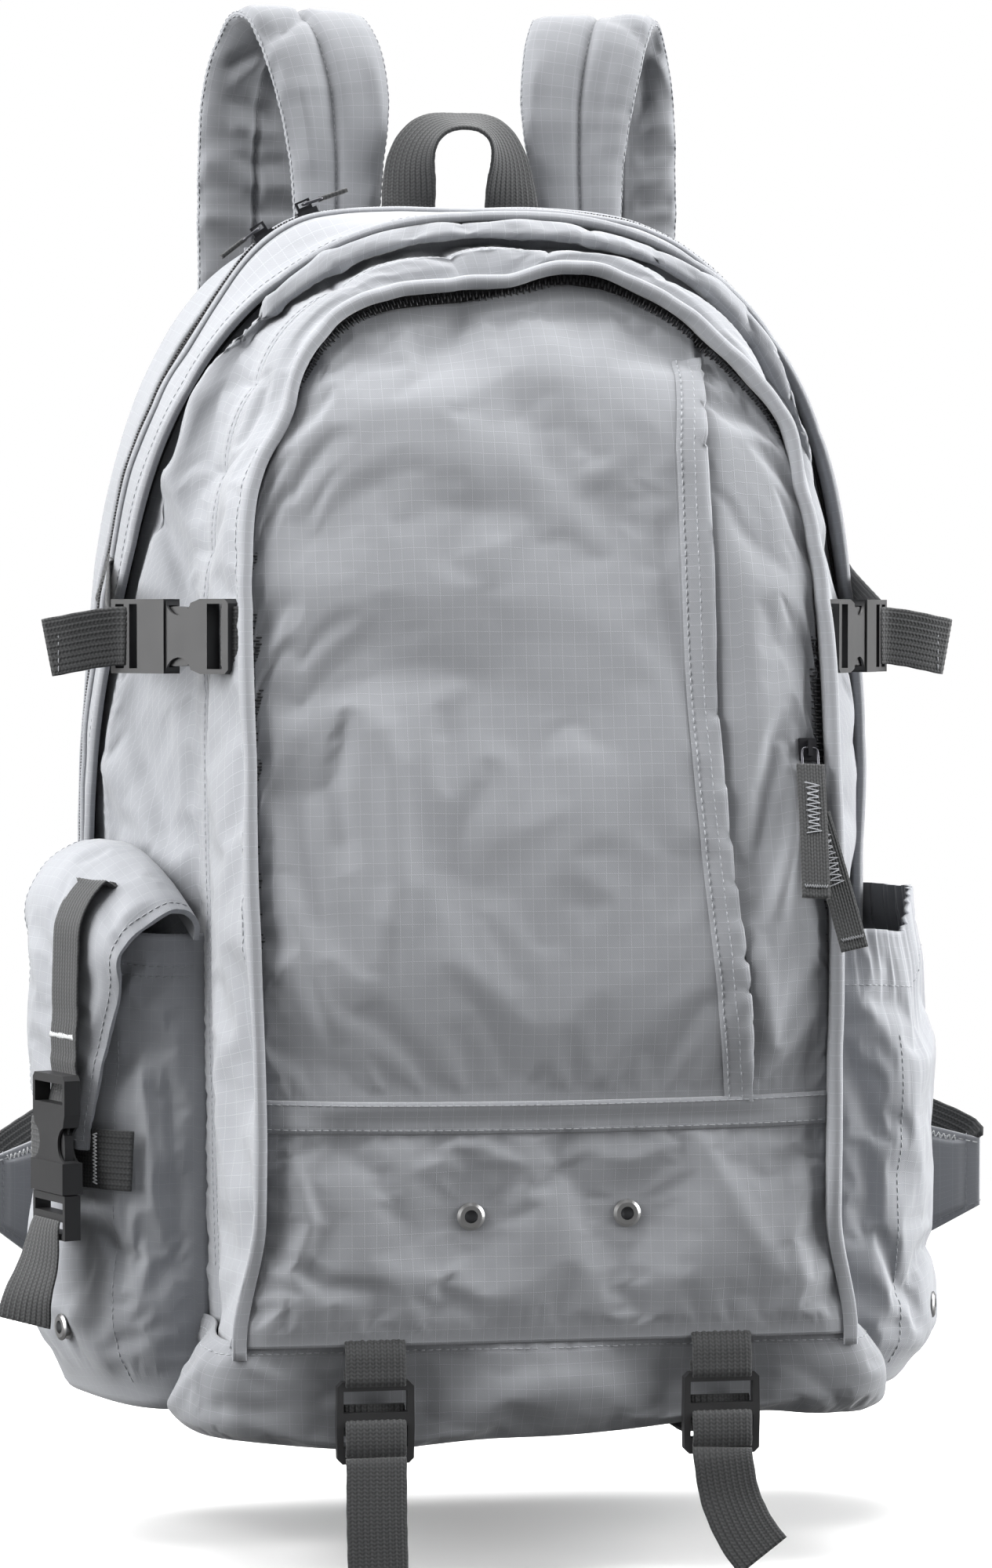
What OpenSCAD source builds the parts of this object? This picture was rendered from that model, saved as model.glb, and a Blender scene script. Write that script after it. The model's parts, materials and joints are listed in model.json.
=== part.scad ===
// Daypack with two side pockets, three side-release buckles and two base lash straps.
// +Z is up, the front faces -Y and left is -X. The origin is the centre of the base's
// resting face. Millimetres.

/* [Pack body] */
// Half width of the body at the side zip line
body_half_w = 169; // [164:1:172]
// Height of the top of the rear compartment
rear_h = 511; // [505:1:515]
// Height of the top of the middle compartment's flap
mid_h = 500; // [496:1:502]
// Height of the top of the front compartment's rear seam
front_rear_h = 484; // [480:1:486]
// Height of the top of the front compartment's zip
front_h = 474; // [470:1:476]
// Cloth thickness of the shells
cloth = 2.4; // [1.8:0.2:3]

/* [Pockets] */
// Depth of the closed left pocket
left_pocket_d = 45; // [38:1:47]
// Depth of the open right pocket
right_pocket_d = 45; // [40:1:47]
// Height of the pocket rims
pocket_rim_z = 203; // [190:1:205]

/* [Hardware] */
// Webbing width
web_w = 25; // [24:0.5:25]
// Webbing thickness
web_t = 1.5; // [1.2:0.1:1.6]
// Bore radius of every eyelet
eyelet_r = 2.7; // [2:0.1:3]
// Distance between the two front eyelets
eyelet_gap = 64; // [50:1:80]

/* [Carrying] */
// Height of the crest of the shoulder straps
strap_top_z = 604; // [596:1:610]
// Width of the shoulder straps
strap_w = 54; // [48:1:56]
// Height of the crest of the grab handle
handle_top_z = 559; // [552:1:564]

/* [Hidden] */

grey = [0.62, 0.63, 0.65];
dark = [0.3, 0.3, 0.31];
black = [0.14, 0.14, 0.15];
steel = [0.6, 0.6, 0.6];

base_h = 42;                  // top of the base tray
shell_bottom = base_h + 0.4;  // bottom of the cloth shells
hole_clear = 1.5;             // extra radius of the holes the eyelets sit in

// ---- helpers; "side" is -1 for left and 1 for right ----
function signed_pow(value, power) = sign(value) * pow(abs(value), power);
function clamp(t) = min(1, max(0, t));
function unit(v) = v / norm(v);
function square_to(v, tangent) = unit(v - tangent * (v * tangent));
function outward(tangent) = [tangent[1], -tangent[0]];
function to_side(side, p) = [side * p[0], p[1], p[2]];
function tangents(points) = let (last = len(points) - 1)
  [for (i = [0:last]) unit(points[min(i + 1, last)] - points[max(i - 1, 0)])];
// Half outline followed by its mirror image in x; the last `shared` points aren't repeated.
function both_sides(half, shared = 0) =
  concat(half, [for (i = [len(half) - 1 - shared:-1:0]) [-half[i][0], half[i][1]]]);

// Closed solid through a list of point loops.
module skin(loops) {
  n = len(loops[0]);
  last = len(loops) - 1;
  sides = [for (j = [0:last - 1]) for (i = [0:n - 1])
    let (a = j * n + i, b = j * n + (i + 1) % n, c = b + n, d = a + n)
    each [[a, c, b], [a, d, c]]];
  caps = [[for (i = [0:n - 1]) i], [for (i = [n - 1:-1:0]) last * n + i]];
  polyhedron([for (loop = loops) each loop], concat(sides, caps), convexity = 8);
}
// Strip of rectangular section along centre points.
// across: the width direction, either one for all points or one for each.
module strip(points, across, width, thickness) {
  t = tangents(points);
  skin([for (i = [0:len(points) - 1])
    let (u = square_to(is_num(across[0]) ? across : across[i], t[i]),
         half_w = u * width / 2,
         half_t = cross(u, t[i]) * thickness / 2)
    [points[i] + half_w + half_t, points[i] - half_w + half_t,
     points[i] - half_w - half_t, points[i] + half_w - half_t]]);
}
// Strip along an outline [x, z], whose points lie at line_y.
// section: [outward, y] pairs; `skip` points are left out at each end.
module edge_strip(outline, line_y, section, skip = 5) {
  t = tangents(outline);
  skin([for (j = [skip:len(outline) - 1 - skip]) [for (s = section)
    let (p = outline[j] + outward(t[j]) * s[0]) [p[0], line_y[j] + s[1], p[1]]]]);
}
// Moves children into the frame with the given origin and axes.
module place(origin, x_axis, y_axis, z_axis)
  multmatrix([for (i = [0:3])
    i < 3 ? [x_axis[i], y_axis[i], z_axis[i], origin[i]] : [0, 0, 0, 1]]) children();
// Upright sheet: a flat outline [x, z] thickened forwards from back_y.
module sheet(back_y, thickness)
  translate([0, back_y, 0]) rotate([90, 0, 0]) linear_extrude(height = thickness) children();
// Flat outline [x, z] thickened evenly about y = 0.
module slab(thickness)
  rotate([90, 0, 0]) linear_extrude(height = thickness, center = true) children();
// Cylinder along y, centred on the origin.
module bore(r, h) rotate([90, 0, 0]) cylinder(r = r, h = h, center = true, $fn = 48);

// ---- the pack's arches ----
// Arch outline [x, z] seen from the front, anticlockwise from the bottom right corner:
// 4 points round each corner, 6 up each leg and 21 over the crown, which is a
// superellipse springing from spring_z.
function arch(half_w, top, spring_z, power, bottom, corner_r, foot_half_w) =
  let (leg_z = bottom + corner_r)
  both_sides(concat(
    [for (a = [-90:30:0])
      [foot_half_w - corner_r + corner_r * cos(a), leg_z + corner_r * sin(a)]],
    [for (i = [1:6]) let (t = i / 7)
      [foot_half_w + (half_w - foot_half_w) * sin(90 * t), leg_z + (spring_z - leg_z) * t]],
    [for (a = [0:9:90])
      [half_w * signed_pow(cos(a), 2 / power),
       spring_z + (top - spring_z) * pow(sin(a), 2 / power)]]), shared = 1);

// The pack's outlines, drawn in by `inset`.
foot_half_w = body_half_w - 8;
function rear_arch(inset, bottom) =
  arch(body_half_w - inset, rear_h - inset, 232, 2.8, bottom, 20, foot_half_w - inset);
function mid_arch(inset, bottom) =
  arch(body_half_w - inset, mid_h - inset, 230, 2.5, bottom, 20, foot_half_w - inset);
function front_seam_arch(inset, bottom) =
  arch(128 - inset, front_rear_h - inset, 300, 2.4, bottom, 16, 124 - inset);
function front_zip_arch(inset, bottom) =
  arch(118 - inset, front_h + 4 - inset, 330, 2.6, bottom, 14, 118 - inset);

// Depth of the middle flap line, the front compartment's rear seam and its zip line.
mid_leg_y = 66;
function mid_y(z) = mid_leg_y - mid_leg_y * pow(clamp((z - 228) / (mid_h - 228)), 1.1);
function front_seam_y(z) = -38 + 14 * (z - base_h) / (front_rear_h - base_h);
function front_zip_y(z) = -107 + 65 * pow(clamp((z - 150) / (front_h - 150)), 1.7);

// Every loop of one arch takes its depths from the outline without inset.
mid_ref = mid_arch(0, base_h);
mid_ref_y = [for (p = mid_ref) mid_y(p[1])];
front_zip_ref = front_zip_arch(0, base_h);
front_zip_ref_y = [for (p = front_zip_ref) front_zip_y(p[1])];

// Loops on those lines, shifted by dy.
function loop_at(outline, line_y, dy) =
  [for (i = [0:len(outline) - 1]) [outline[i][0], line_y[i] + dy, outline[i][1]]];
function mid_loop(inset, bottom, dy) = loop_at(mid_arch(inset, bottom), mid_ref_y, dy);
function front_zip_loop(inset, bottom, dy) =
  loop_at(front_zip_arch(inset, bottom), front_zip_ref_y, dy);
function front_seam_loop(inset, bottom, dy) =
  [for (p = front_seam_arch(inset, bottom)) [p[0], front_seam_y(p[1]) + dy, p[1]]];

// ---- body shells ----
// Back panel with two upright grooves in its rear face.
module back_panel() color(grey) difference() {
  sheet(105, 11.5) polygon(rear_arch(3, 1));
  for (x = [-52, 52])
    translate([x, 106.6, 250]) rotate([90, 0, 0]) linear_extrude(height = 4)
      square([1.6, 330], center = true);
}
module frame_sheet() color(black)
  sheet(92.8, 1.6) polygon(arch(126, 470, 300, 2.8, 50, 20, 126));
module inner_sleeve() color(grey)
  sheet(90.4, 5) polygon(both_sides([[118, 60], [118, 300], [104, 318]]));

// Outline without its bottom corners, its legs run straight down to shell_bottom.
function open_legs(outline) = let (last = len(outline) - 4)
  concat([[outline[3][0], shell_bottom]], [for (i = [3:last]) outline[i]],
    [[outline[last][0], shell_bottom]]);

// The section has four stations from rear to front; the last follows the middle flap line.
module rear_gusset() color(grey) {
  insets = [6, 1, 0, 1.5];
  outer = [for (inset = insets) open_legs(rear_arch(inset, base_h))];
  inner = [for (inset = insets) open_legs(rear_arch(inset + cloth, base_h))];
  front_y = [for (p = open_legs(mid_ref)) mid_y(p[1]) + 2];
  skin([for (k = [0:len(front_y) - 1]) let (y = [93, 88, 72, front_y[k]])
    [for (j = [0:3]) [outer[j][k][0], y[j], outer[j][k][1]],
     for (j = [3:-1:0]) [inner[j][k][0], y[j], inner[j][k][1]]]]);
}

// Tapers from the middle flap line to the front seam; open at the bottom.
module middle_shell() color(grey) {
  rear_inset = 8;
  cut_bottom = base_h - 9;
  difference() {
    skin([mid_loop(rear_inset, shell_bottom, 1.4), mid_loop(rear_inset, shell_bottom, -5),
      front_seam_loop(0, shell_bottom, 8), front_seam_loop(1, shell_bottom, 0)]);
    skin([mid_loop(rear_inset + cloth, cut_bottom, 12),
      mid_loop(rear_inset + cloth, cut_bottom, -5),
      front_seam_loop(cloth, cut_bottom, 9), front_seam_loop(1 + cloth, cut_bottom, cloth)]);
  }
}
module front_gusset() color(grey) {
  cut_bottom = shell_bottom + cloth;
  difference() {
    skin([front_seam_loop(0, shell_bottom, -0.6), front_seam_loop(-0.5, shell_bottom, -7),
      front_zip_loop(0, shell_bottom, 0)]);
    skin([front_seam_loop(cloth, cut_bottom, 4), front_seam_loop(cloth - 0.5, cut_bottom, -7),
      front_zip_loop(cloth, cut_bottom, -4)]);
  }
}

// ---- base ----
lash_x = 71;  // the lash straps lie at -lash_x and lash_x
// Plan outline [x, y] and its inside.
tray_outline = both_sides([[-160, 93], [-168, 84], [-168, 66], [-133, -28], [-133, -37],
  [-146, -52], [-149, -68], [-145, -86], [-130, -99], [-110, -104]]);
function tray_wall_y(y) = y > 90 ? 3 : y > 0 ? 1 : y < -80 ? -3 : 0;
tray_inside = [for (p = tray_outline) [p[0] - 3 * sign(p[0]), p[1] - tray_wall_y(p[1])]];

// Open tray with a channel under its floor for each lash strap.
module base_tray() color(grey) {
  channel_w = web_w + 3;
  difference() {
    linear_extrude(height = base_h) polygon(tray_outline);
    translate([0, 0, 3.5]) linear_extrude(height = base_h) polygon(tray_inside);
    for (x = [-lash_x, lash_x])
      translate([x - channel_w / 2, -110, -1]) cube([channel_w, 210, 3.4]);
  }
}
module base_board() color(black) translate([0, 0, 4]) linear_extrude(height = 2)
  polygon(both_sides([[-150, 86], [-150, 66], [-118, -20], [-130, -60], [-120, -90]]));

// ---- sliders and pulls ----
pull_rise = 5.6;  // height of the slider's hole, where the pull's bar sits
// Body and bridge with an oblong hole. Local x along the track, z away from the cloth.
module slider_body() difference() {
  union() {
    translate([-4.6, -3.6, 0]) cube([9.2, 7.2, 3]);
    translate([-3.3, -0.9, 2.9]) cube([6.6, 1.8, 4.5]);
  }
  translate([-2.3, -2, pull_rise - 1]) cube([4.6, 4, 2]);
}
// Wire loop and webbing tab. Origin on the loop's bar, x along the bar, hanging along -y.
module pull_tab(length, width) {
  difference() {
    translate([-3.8, -9, -0.45]) cube([7.6, 9.45, 0.9]);
    translate([-2.8, -7.8, -2]) cube([5.6, 7.35, 4]);
  }
  translate([-width / 2, -8.95 - length, -1.2]) cube([width, length, 2.4]);
}

// ---- main zip: tape and coil round the rear gusset ----
// Its shoulders are arcs of one circle, centred at [x, z].
shoulder_centre = [21.7, rear_h - 129.7];
shoulder_r = 134;
main_zip_y = 44;
zip_outer = rear_arch(-3.2, base_h);
zip_track = both_sides(concat(
  [for (i = [6:12]) zip_outer[i]],
  [for (a = [20:7.5:65]) shoulder_centre + shoulder_r * [cos(a), sin(a)]],
  [for (i = [19:20]) zip_outer[i]]), shared = 1);
module main_zip() color(dark)
  edge_strip(zip_track, [for (p = zip_track) main_zip_y + 39 * clamp((430 - p[1]) / 210)],
    [[-0.5, -4], [0.5, -4], [0.5, 4], [-0.5, 4]], skip = 0);

// Both sliders are on the left shoulder, at these angles above the horizontal.
left_slider_angle = 57;
right_slider_angle = 66;
main_slider_rise = 1.1;
// Frame on the left shoulder: x up along the track, y to the rear, z off the cloth.
module on_shoulder(angle, rise) let (r = shoulder_r + rise)
  place([-shoulder_centre[0] - cos(angle) * r, main_zip_y, shoulder_centre[1] + sin(angle) * r],
    [sin(angle), 0, cos(angle)], [0, 1, 0], [-cos(angle), 0, sin(angle)]) children();
module main_slider(angle) color(steel) on_shoulder(angle, main_slider_rise) slider_body();
// Pull lying up or down the track.
module main_pull(angle, up) color(dark) let (turn = up ? 1 : -1)
  on_shoulder(angle, main_slider_rise + pull_rise)
    rotate([0, turn * 5, 0]) rotate([0, 0, turn * 90]) pull_tab(11, 6);

// ---- middle zip ----
// Welt over the middle zip, ending part way down the legs.
module middle_flap_welt() color(grey) difference() {
  edge_strip(mid_ref, mid_ref_y, [[1, 1], [1, -5], [0.9, -8.4], [3.3, -9], [3.5, -5], [2.4, 1]]);
  translate([-200, 0, 0]) cube([400, 120, 243]);
}
module middle_zip() color(dark)
  edge_strip(mid_ref, mid_ref_y, [[-7.2, 1], [-7.2, -4.6], [-6, -4.6], [-6, 1]]);
module middle_slider() color(steel)
  place([body_half_w - 7.3, mid_leg_y - 1.8, 165], [0, 0, 1], [0, -1, 0], [1, 0, 0]) union() {
    translate([-4, -2.4, 0]) cube([8, 4.8, 2.4]);
    translate([-14, -1.6, 2.35]) cube([17, 3.2, 1.2]);
  }

// ---- front zip ----
module front_zip() color(dark)
  edge_strip(front_zip_ref, front_zip_ref_y, [[-9.5, 0.6], [-9.5, -1], [-3.2, -1], [-3.2, 0.6]]);
module front_flap_welt() color(grey)
  edge_strip(front_zip_arch(1.6, base_h), front_zip_ref_y,
    [for (a = [0:60:300]) [3 * cos(a), -4.8 + 3 * sin(a)]]);

// Two sliders ride the right leg of the front zip at these heights.
upper_slider_z = 278;
lower_slider_z = 258;
front_slider_rise = 2.7;
// Frame on the right leg at height z: local x up the track, local z off the cloth.
module on_leg(z, rise) {
  up = unit([0, front_zip_y(z + 10) - front_zip_y(z - 10), 20]);
  off = [0, -up[2], up[1]];
  place([109.4, front_zip_y(z), z] + off * rise, up, [-1, 0, 0], off) children();
}
module front_slider(z) color(steel) on_leg(z, front_slider_rise) slider_body();
// tilt swings the hanging pull off the cloth, lean swings it sideways.
module front_pull(z, tilt, lean) color(dark) on_leg(z, front_slider_rise + pull_rise)
  rotate([0, tilt, 0]) rotate([0, 0, lean - 90]) pull_tab(56, 11.6);

// ---- front panels ----
// Loop of the front panel: its outline scaled about the centre, bulging by `crown` there.
panel_outline = front_zip_arch(10.4, 139);
function panel_loop(scale, dy) = let (centre = [0, 290], crown = 8)
  [for (i = [0:len(panel_outline) - 1])
    let (p = centre + (panel_outline[i] - centre) * scale,
         on_crown = i >= 10 && i <= 30,
         edge_z = on_crown ? front_zip_ref[i][1] : panel_outline[i][1],
         line_z = scale < 0.1 ? centre[1] : centre[1] + (edge_z - centre[1]) * scale)
    [p[0], front_zip_y(line_z) + dy - crown * (1 - scale * scale), p[1]]];
// Crowned cloth sheet inside the zip.
module front_panel() color(grey) {
  scales = [0.05, 0.3, 0.55, 0.8, 1];
  skin([for (k = [0:4]) panel_loop(scales[k], -1.2),
    for (k = [4:-1:0]) panel_loop(scales[k], 1.2)]);
}
function placket_x(z) = 63 + 14 * pow(clamp((300 - z) / 160), 1.4) + 4 * clamp((z - 400) / 40);
module placket() color(grey)
  strip([for (z = [150:24:438])
    [placket_x(z), front_zip_y(z) - 10.4 + 0.06 * max(0, z - 400), z]], [1, 0.05, 0], 10, 1.2);
module seam_band() color(grey) translate([-107, -109.2, 127]) cube([214, 2, 11]);

lower_panel_y = -107.2;  // rear face
lower_panel_t = 2.4;
eyelet_z = 92;
module lower_front_panel() color(grey) difference() {
  sheet(lower_panel_y, lower_panel_t) polygon(both_sides([[112, 46], [114, 60], [108, 125]]));
  for (side = [-1, 1])
    translate([side * eyelet_gap / 2, -108, eyelet_z]) bore(eyelet_r + hole_clear, 9);
}
// Rolled flange, barrel and washer in one ring, through cloth of the given thickness.
// Local z points out of the cloth, from its outer face.
module eyelet(thickness) {
  washer_z = -thickness - 0.1;
  barrel_r = eyelet_r + 1.2;
  rotate_extrude($fn = 64) polygon([
    [eyelet_r, washer_z - 0.5], [5.4, washer_z - 0.5], [5.4, washer_z], [barrel_r, washer_z],
    [barrel_r, 0.1], [5.6, 0.1], [5.6, 0.6], [4.4, 1.3], [eyelet_r, 1.3]]);
}
module front_eyelets() color(steel) for (side = [-1, 1])
  translate([side * eyelet_gap / 2, lower_panel_y - lower_panel_t, eyelet_z])
    rotate([90, 0, 0]) eyelet(lower_panel_t);

// ---- side pockets ----
// Frame on a side of the pack: x towards the front, y away from the cloth, z up.
side_dir = unit([0.355, -0.935, 0]);
function side_out(side) = [-side * side_dir[1], -side_dir[0], 0];
function side_forward(side) = [-side * side_dir[0], side_dir[1], 0];
function side_origin(side) = [side * 148, 16, 0];
module on_side(side)
  place(side_origin(side), side_forward(side), side_out(side), [0, 0, 1]) children();

drain_x = 6;
drain_z = 36;
function pocket_depth(side) = side < 0 ? left_pocket_d : right_pocket_d;
// Round-cornered loop from back_y out to depth, at height z.
function pocket_loop(half_w, depth, back_y, z) =
  [for (p = both_sides(concat(
    [[half_w, back_y], [half_w, depth * 0.55]],
    [for (a = [15:15:75])
      [half_w - depth * 0.42 * (1 - cos(a)), depth * 0.55 + depth * 0.45 * sin(a)]],
    [[half_w - depth * 0.45, depth]]))) [p[0], p[1], z]];
module pocket(depth) translate([-4, 0, 0]) difference() {
  skin([
    pocket_loop(45, depth * 0.86, 3, 6),
    pocket_loop(48, depth, 3, 16),
    pocket_loop(48, depth, 3, 130),
    pocket_loop(47, depth - 2, 3, pocket_rim_z)]);
  skin([
    pocket_loop(43, depth * 0.86 - cloth, -3, 9),
    pocket_loop(48 - cloth, depth - cloth, -3, 17),
    pocket_loop(48 - cloth, depth - cloth, -3, 130),
    pocket_loop(47 - cloth, depth - 2 - cloth, -3, pocket_rim_z + 1)]);
}
// Pocket with a drain hole through its outer face.
module side_pocket(side) color(grey) on_side(side) difference() {
  pocket(pocket_depth(side));
  translate([drain_x, pocket_depth(side), drain_z]) bore(eyelet_r + hole_clear, 12);
}
module drain_eyelets() color(steel) for (side = [-1, 1]) let (out = side_out(side))
  place(side_origin(side) + side_forward(side) * drain_x + out * pocket_depth(side)
    + [0, 0, drain_z], [0, 0, 1], cross(out, [0, 0, 1]), out) eyelet(cloth);

// ---- flap over the left pocket; profiles are [y, z] in the side frame ----
flap_strap_x = 20;
flap_profile = [
  // inner face
  [3, 232], [12, 236], [24, 236], [35, 231], [42.5, 220], [45.6, 204], [45.8, 124],
  // outer face
  [48.2, 124], [48, 205], [44.6, 221.4], [36.4, 233.2], [24.6, 238.4], [11.6, 238.4], [3, 235]];
flap_strap_profile = [
  // inner face
  [49.2, 146], [49, 206], [45.6, 222.2], [37, 234.2], [24.8, 239.3], [11.6, 239.3], [5, 237.4],
  // outer face
  [5, 238.6], [11.6, 240.6], [24.9, 240.6], [37.8, 235.4], [46.8, 223], [50.3, 206.4],
  [50.5, 146]];
module flap_prism(width, profile, centre_x) on_side(-1)
  translate([centre_x + width / 2, 0, 0]) rotate([0, -90, 0]) linear_extrude(height = width)
    polygon([for (p = profile) [p[1], p[0]]]);
module pocket_flap() color(grey) flap_prism(78, flap_profile, 9);
module flap_strap() color(dark) flap_prism(web_w, flap_strap_profile, flap_strap_x);

// The flap's buckle hangs below the flap strap.
module at_flap_buckle() on_side(-1)
  place([flap_strap_x, 53.8, 95], [0, 0, -1], [0, 1, 0], [1, 0, 0]) children();
module flap_tail() color(dark) on_side(-1)
  strip([[20, 59.2, 80], [20, 60.9, 72], [20, 63.6, 60], [20, 66, 50], [19, 67, 40]],
    [[1, 0, 0], [1, 0, 0], [1, 0, 0.1], [1, 0, 0.15], [1, 0, 0.15]], web_w, web_t);

// ---- side-release buckle ----
// x towards the ladder end, y outwards, z across the webbing; origin at the female's mouth.
buckle_half_w = 15.2;
slot_half_w = 13.2;
module sr_female() color(black) difference() {
  union() {
    translate([-13, -4.6, -buckle_half_w]) cube([13, 9.2, 2 * buckle_half_w]);
    slab(7.2) polygon([[-12, 14.6], [-24, 12.5], [-33, 15.2], [-47, 15.2], [-49, 13.4],
      [-49, -13.4], [-47, -15.2], [-33, -15.2], [-24, -12.5], [-12, -14.6]]);
  }
  // socket, side windows and webbing slot
  translate([-31, -2.5, -12.6]) cube([32, 5, 25.2]);
  for (side = [-1, 1]) translate([-20.5, 0, side * 16.2]) bore(7.6, 20);
  translate([-45.5, -6, -slot_half_w]) cube([8.5, 12, 2 * slot_half_w]);
}
// Ladder body, two side arms and a middle tongue.
module sr_male() color(black) difference() {
  union() {
    translate([0.5, -3.6, -buckle_half_w]) cube([18.5, 7.2, 2 * buckle_half_w]);
    for (flip = [0, 1]) mirror([0, 0, flip]) translate([-14, 0, 9.6]) slab(4)
      polygon([[16, -1.6], [16, 1.6], [-4, 2.6], [-10, 2.2], [-12.5, 0], [-10, -2.2],
        [-4, -1.4]]);
    translate([-17, -1.6, -1.8]) cube([18, 3.2, 3.6]);
  }
  // slots, each [start x, length]
  for (slot = [[3.6, 4.6], [11.4, 5]])
    translate([slot[0], -5, -slot_half_w]) cube([slot[1], 10, 2 * slot_half_w]);
}

// ---- compression straps ----
// comp_x runs from the front seam to the rear, comp_y off the cloth.
comp_z = 325;
function comp_x(side) = unit(side < 0 ? [-0.62, 0.785, 0] : [0.52, 0.854, 0]);
function comp_y(side) = side * cross(comp_x(side), [0, 0, 1]);
function comp_seam(side) = [side * 122.5, -82, comp_z];
// Mouth of the female half.
function comp_mouth(side) = comp_seam(side) + comp_x(side) * 51;
module at_comp(side)
  place(comp_mouth(side), comp_x(side), comp_y(side), [0, 0, -side]) children();
module compression_loops() color(dark) for (side = [-1, 1])
  strip([for (along = [-2.6, 0, 1.4]) comp_seam(side) + comp_x(side) * along],
    [0, 0, 1], web_w, 3);
// Webbing from the rear seam to the male half.
module comp_web(side) color(dark) {
  end = comp_mouth(side) + comp_x(side) * 20.6;
  strip([[side * 172.4, 60, comp_z + 28], [side * 172.2, 45, comp_z + 23],
      [side * 169.6, 22, comp_z + 14], end + comp_x(side) * 12 + [0, 6, 3], end + comp_x(side)],
    [[0, 0.25, 1], [0, 0.25, 1], [0, 0.2, 1], [0, 0.06, 1], [0, 0, 1]], web_w, web_t);
}
// Loose end, standing out from the male half.
module comp_tail(side) color(dark) {
  start = comp_mouth(side) + comp_x(side) * 14 + comp_y(side) * 5.4;
  run = unit([side * 0.93, side < 0 ? 0.2 : 0.22, -0.16]);
  strip([for (along = [0, 8, 15, 22, 29]) start + run * along],
    [0, 0, 1] + run * 0.16, web_w, web_t);
}

// ---- base lash straps ----
lash_y = -109.4;
module lash_loops() color(dark) for (side = [-1, 1]) let (x = side * lash_x)
  strip([[x, -106.4, 41.4], [x, -107.6, 38], [x, -109.2, 31], [x, lash_y, 27.8]],
    [1, 0, 0], web_w, 1.6);
// Ladder lock with a lug below: z up, front towards -y, origin at the top bar's centre.
module ladder_lock() color(black) {
  difference() {
    slab(5) polygon(both_sides([[13.5, 2], [15.5, 0], [15.8, -16], [15.5, -29], [13.5, -31]]));
    translate([-13, -4, -10.5]) cube([26, 8, 8.8]);
    translate([-13, -4, -24.5]) cube([26, 8, 8.5]);
  }
  slab(3) polygon(both_sides([[10, -30.8], [7, -38], [4, -39.5]]));
}
module lash_lock(side) translate([side * lash_x, lash_y, 24.6]) ladder_lock();
module lash_tail_left() color(dark)
  strip([[-71, -114, -7], [-71, -114.2, -16], [-71.4, -113, -28], [-72, -113.6, -40],
    [-70.8, -116.5, -50]], [1, 0, 0], web_w, web_t);
module lash_tail_right() color(dark)
  strip([[71, -114, -7], [72, -114.4, -16], [75, -113.4, -27], [80.5, -113.4, -38],
      [88, -117, -48]],
    [[1, 0, 0], [1, 0, 0.1], [1, 0, 0.25], [1, 0, 0.4], [1, 0, 0.35]], web_w, web_t);
module lash_straps() color(dark) for (x = [-lash_x, lash_x])
  translate([x - web_w / 2, -103, 0.5]) cube([web_w, 194, web_t]);

// ---- carrying ----
module strap_yoke() color(grey)
  sheet(110.8, 5.2) polygon(both_sides([[96, 452], [92, 484], [70, 493]]));

// Two upright feet joined by an arched loop.
module grab_handle() color(dark) {
  foot_x = 23.2;
  foot_y = 107.6;
  foot_z = [512.6, 519];
  spring_z = 526;
  angles = [for (i = [0:16]) 180 * i / 16];
  strip(concat(
      [for (z = foot_z) [foot_x, foot_y, z]],
      [for (a = angles) [foot_x * signed_pow(cos(a), 0.62), foot_y - 5 * pow(sin(a), 2),
        spring_z + (handle_top_z - 3 - spring_z) * pow(sin(a), 0.8)]],
      [for (i = [1, 0]) [-foot_x, foot_y, foot_z[i]]]),
    concat([[1, 0, 0], [1, 0, 0]],
      [for (a = angles) [signed_pow(cos(a), 0.7), 1.15 * sin(a), 0.42 * sin(a)]],
      [[-1, 0, 0], [-1, 0, 0]]), web_w - 1, 2.2);
}

// Right shoulder strap from the yoke down: [centre, width direction, width].
// The table is drawn for a crest height of 604 and a width of 54.
strap_table_top_z = 604;
strap_table_w = 54;
strap_stations = [
  [[54.5, 112.8, 503], [1, 0, 0], 36],
  [[54.5, 114, 518], [1, 0, 0], 36],
  [[54.3, 116, 536], [1, 0, -0.02], 37],
  [[55, 119, 562], [1, 0.03, -0.1], 51],
  [[59, 125, 584], [1, 0.08, -0.16], 54],
  [[65, 136, 598], [1, 0.1, -0.1], 54],
  [[72, 150, 598], [1, 0.08, 0.06], 54],
  [[79, 161, 584], [1, 0, 0.12], 54],
  [[83, 167, 560], [1, 0, 0.06], 54],
  [[84, 169, 520], [1, 0, 0], 54],
  [[83, 171, 460], [1, 0, 0], 54],
  [[82, 172, 400], [1, 0, 0], 54],
  [[84, 170, 340], [1, 0, 0], 52],
  [[90, 166, 290], [1, 0, -0.1], 46],
  [[98, 160, 245], [1, 0, -0.16], 38],
  [[104, 155, 210], [1, 0, -0.16], 30]];
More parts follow.
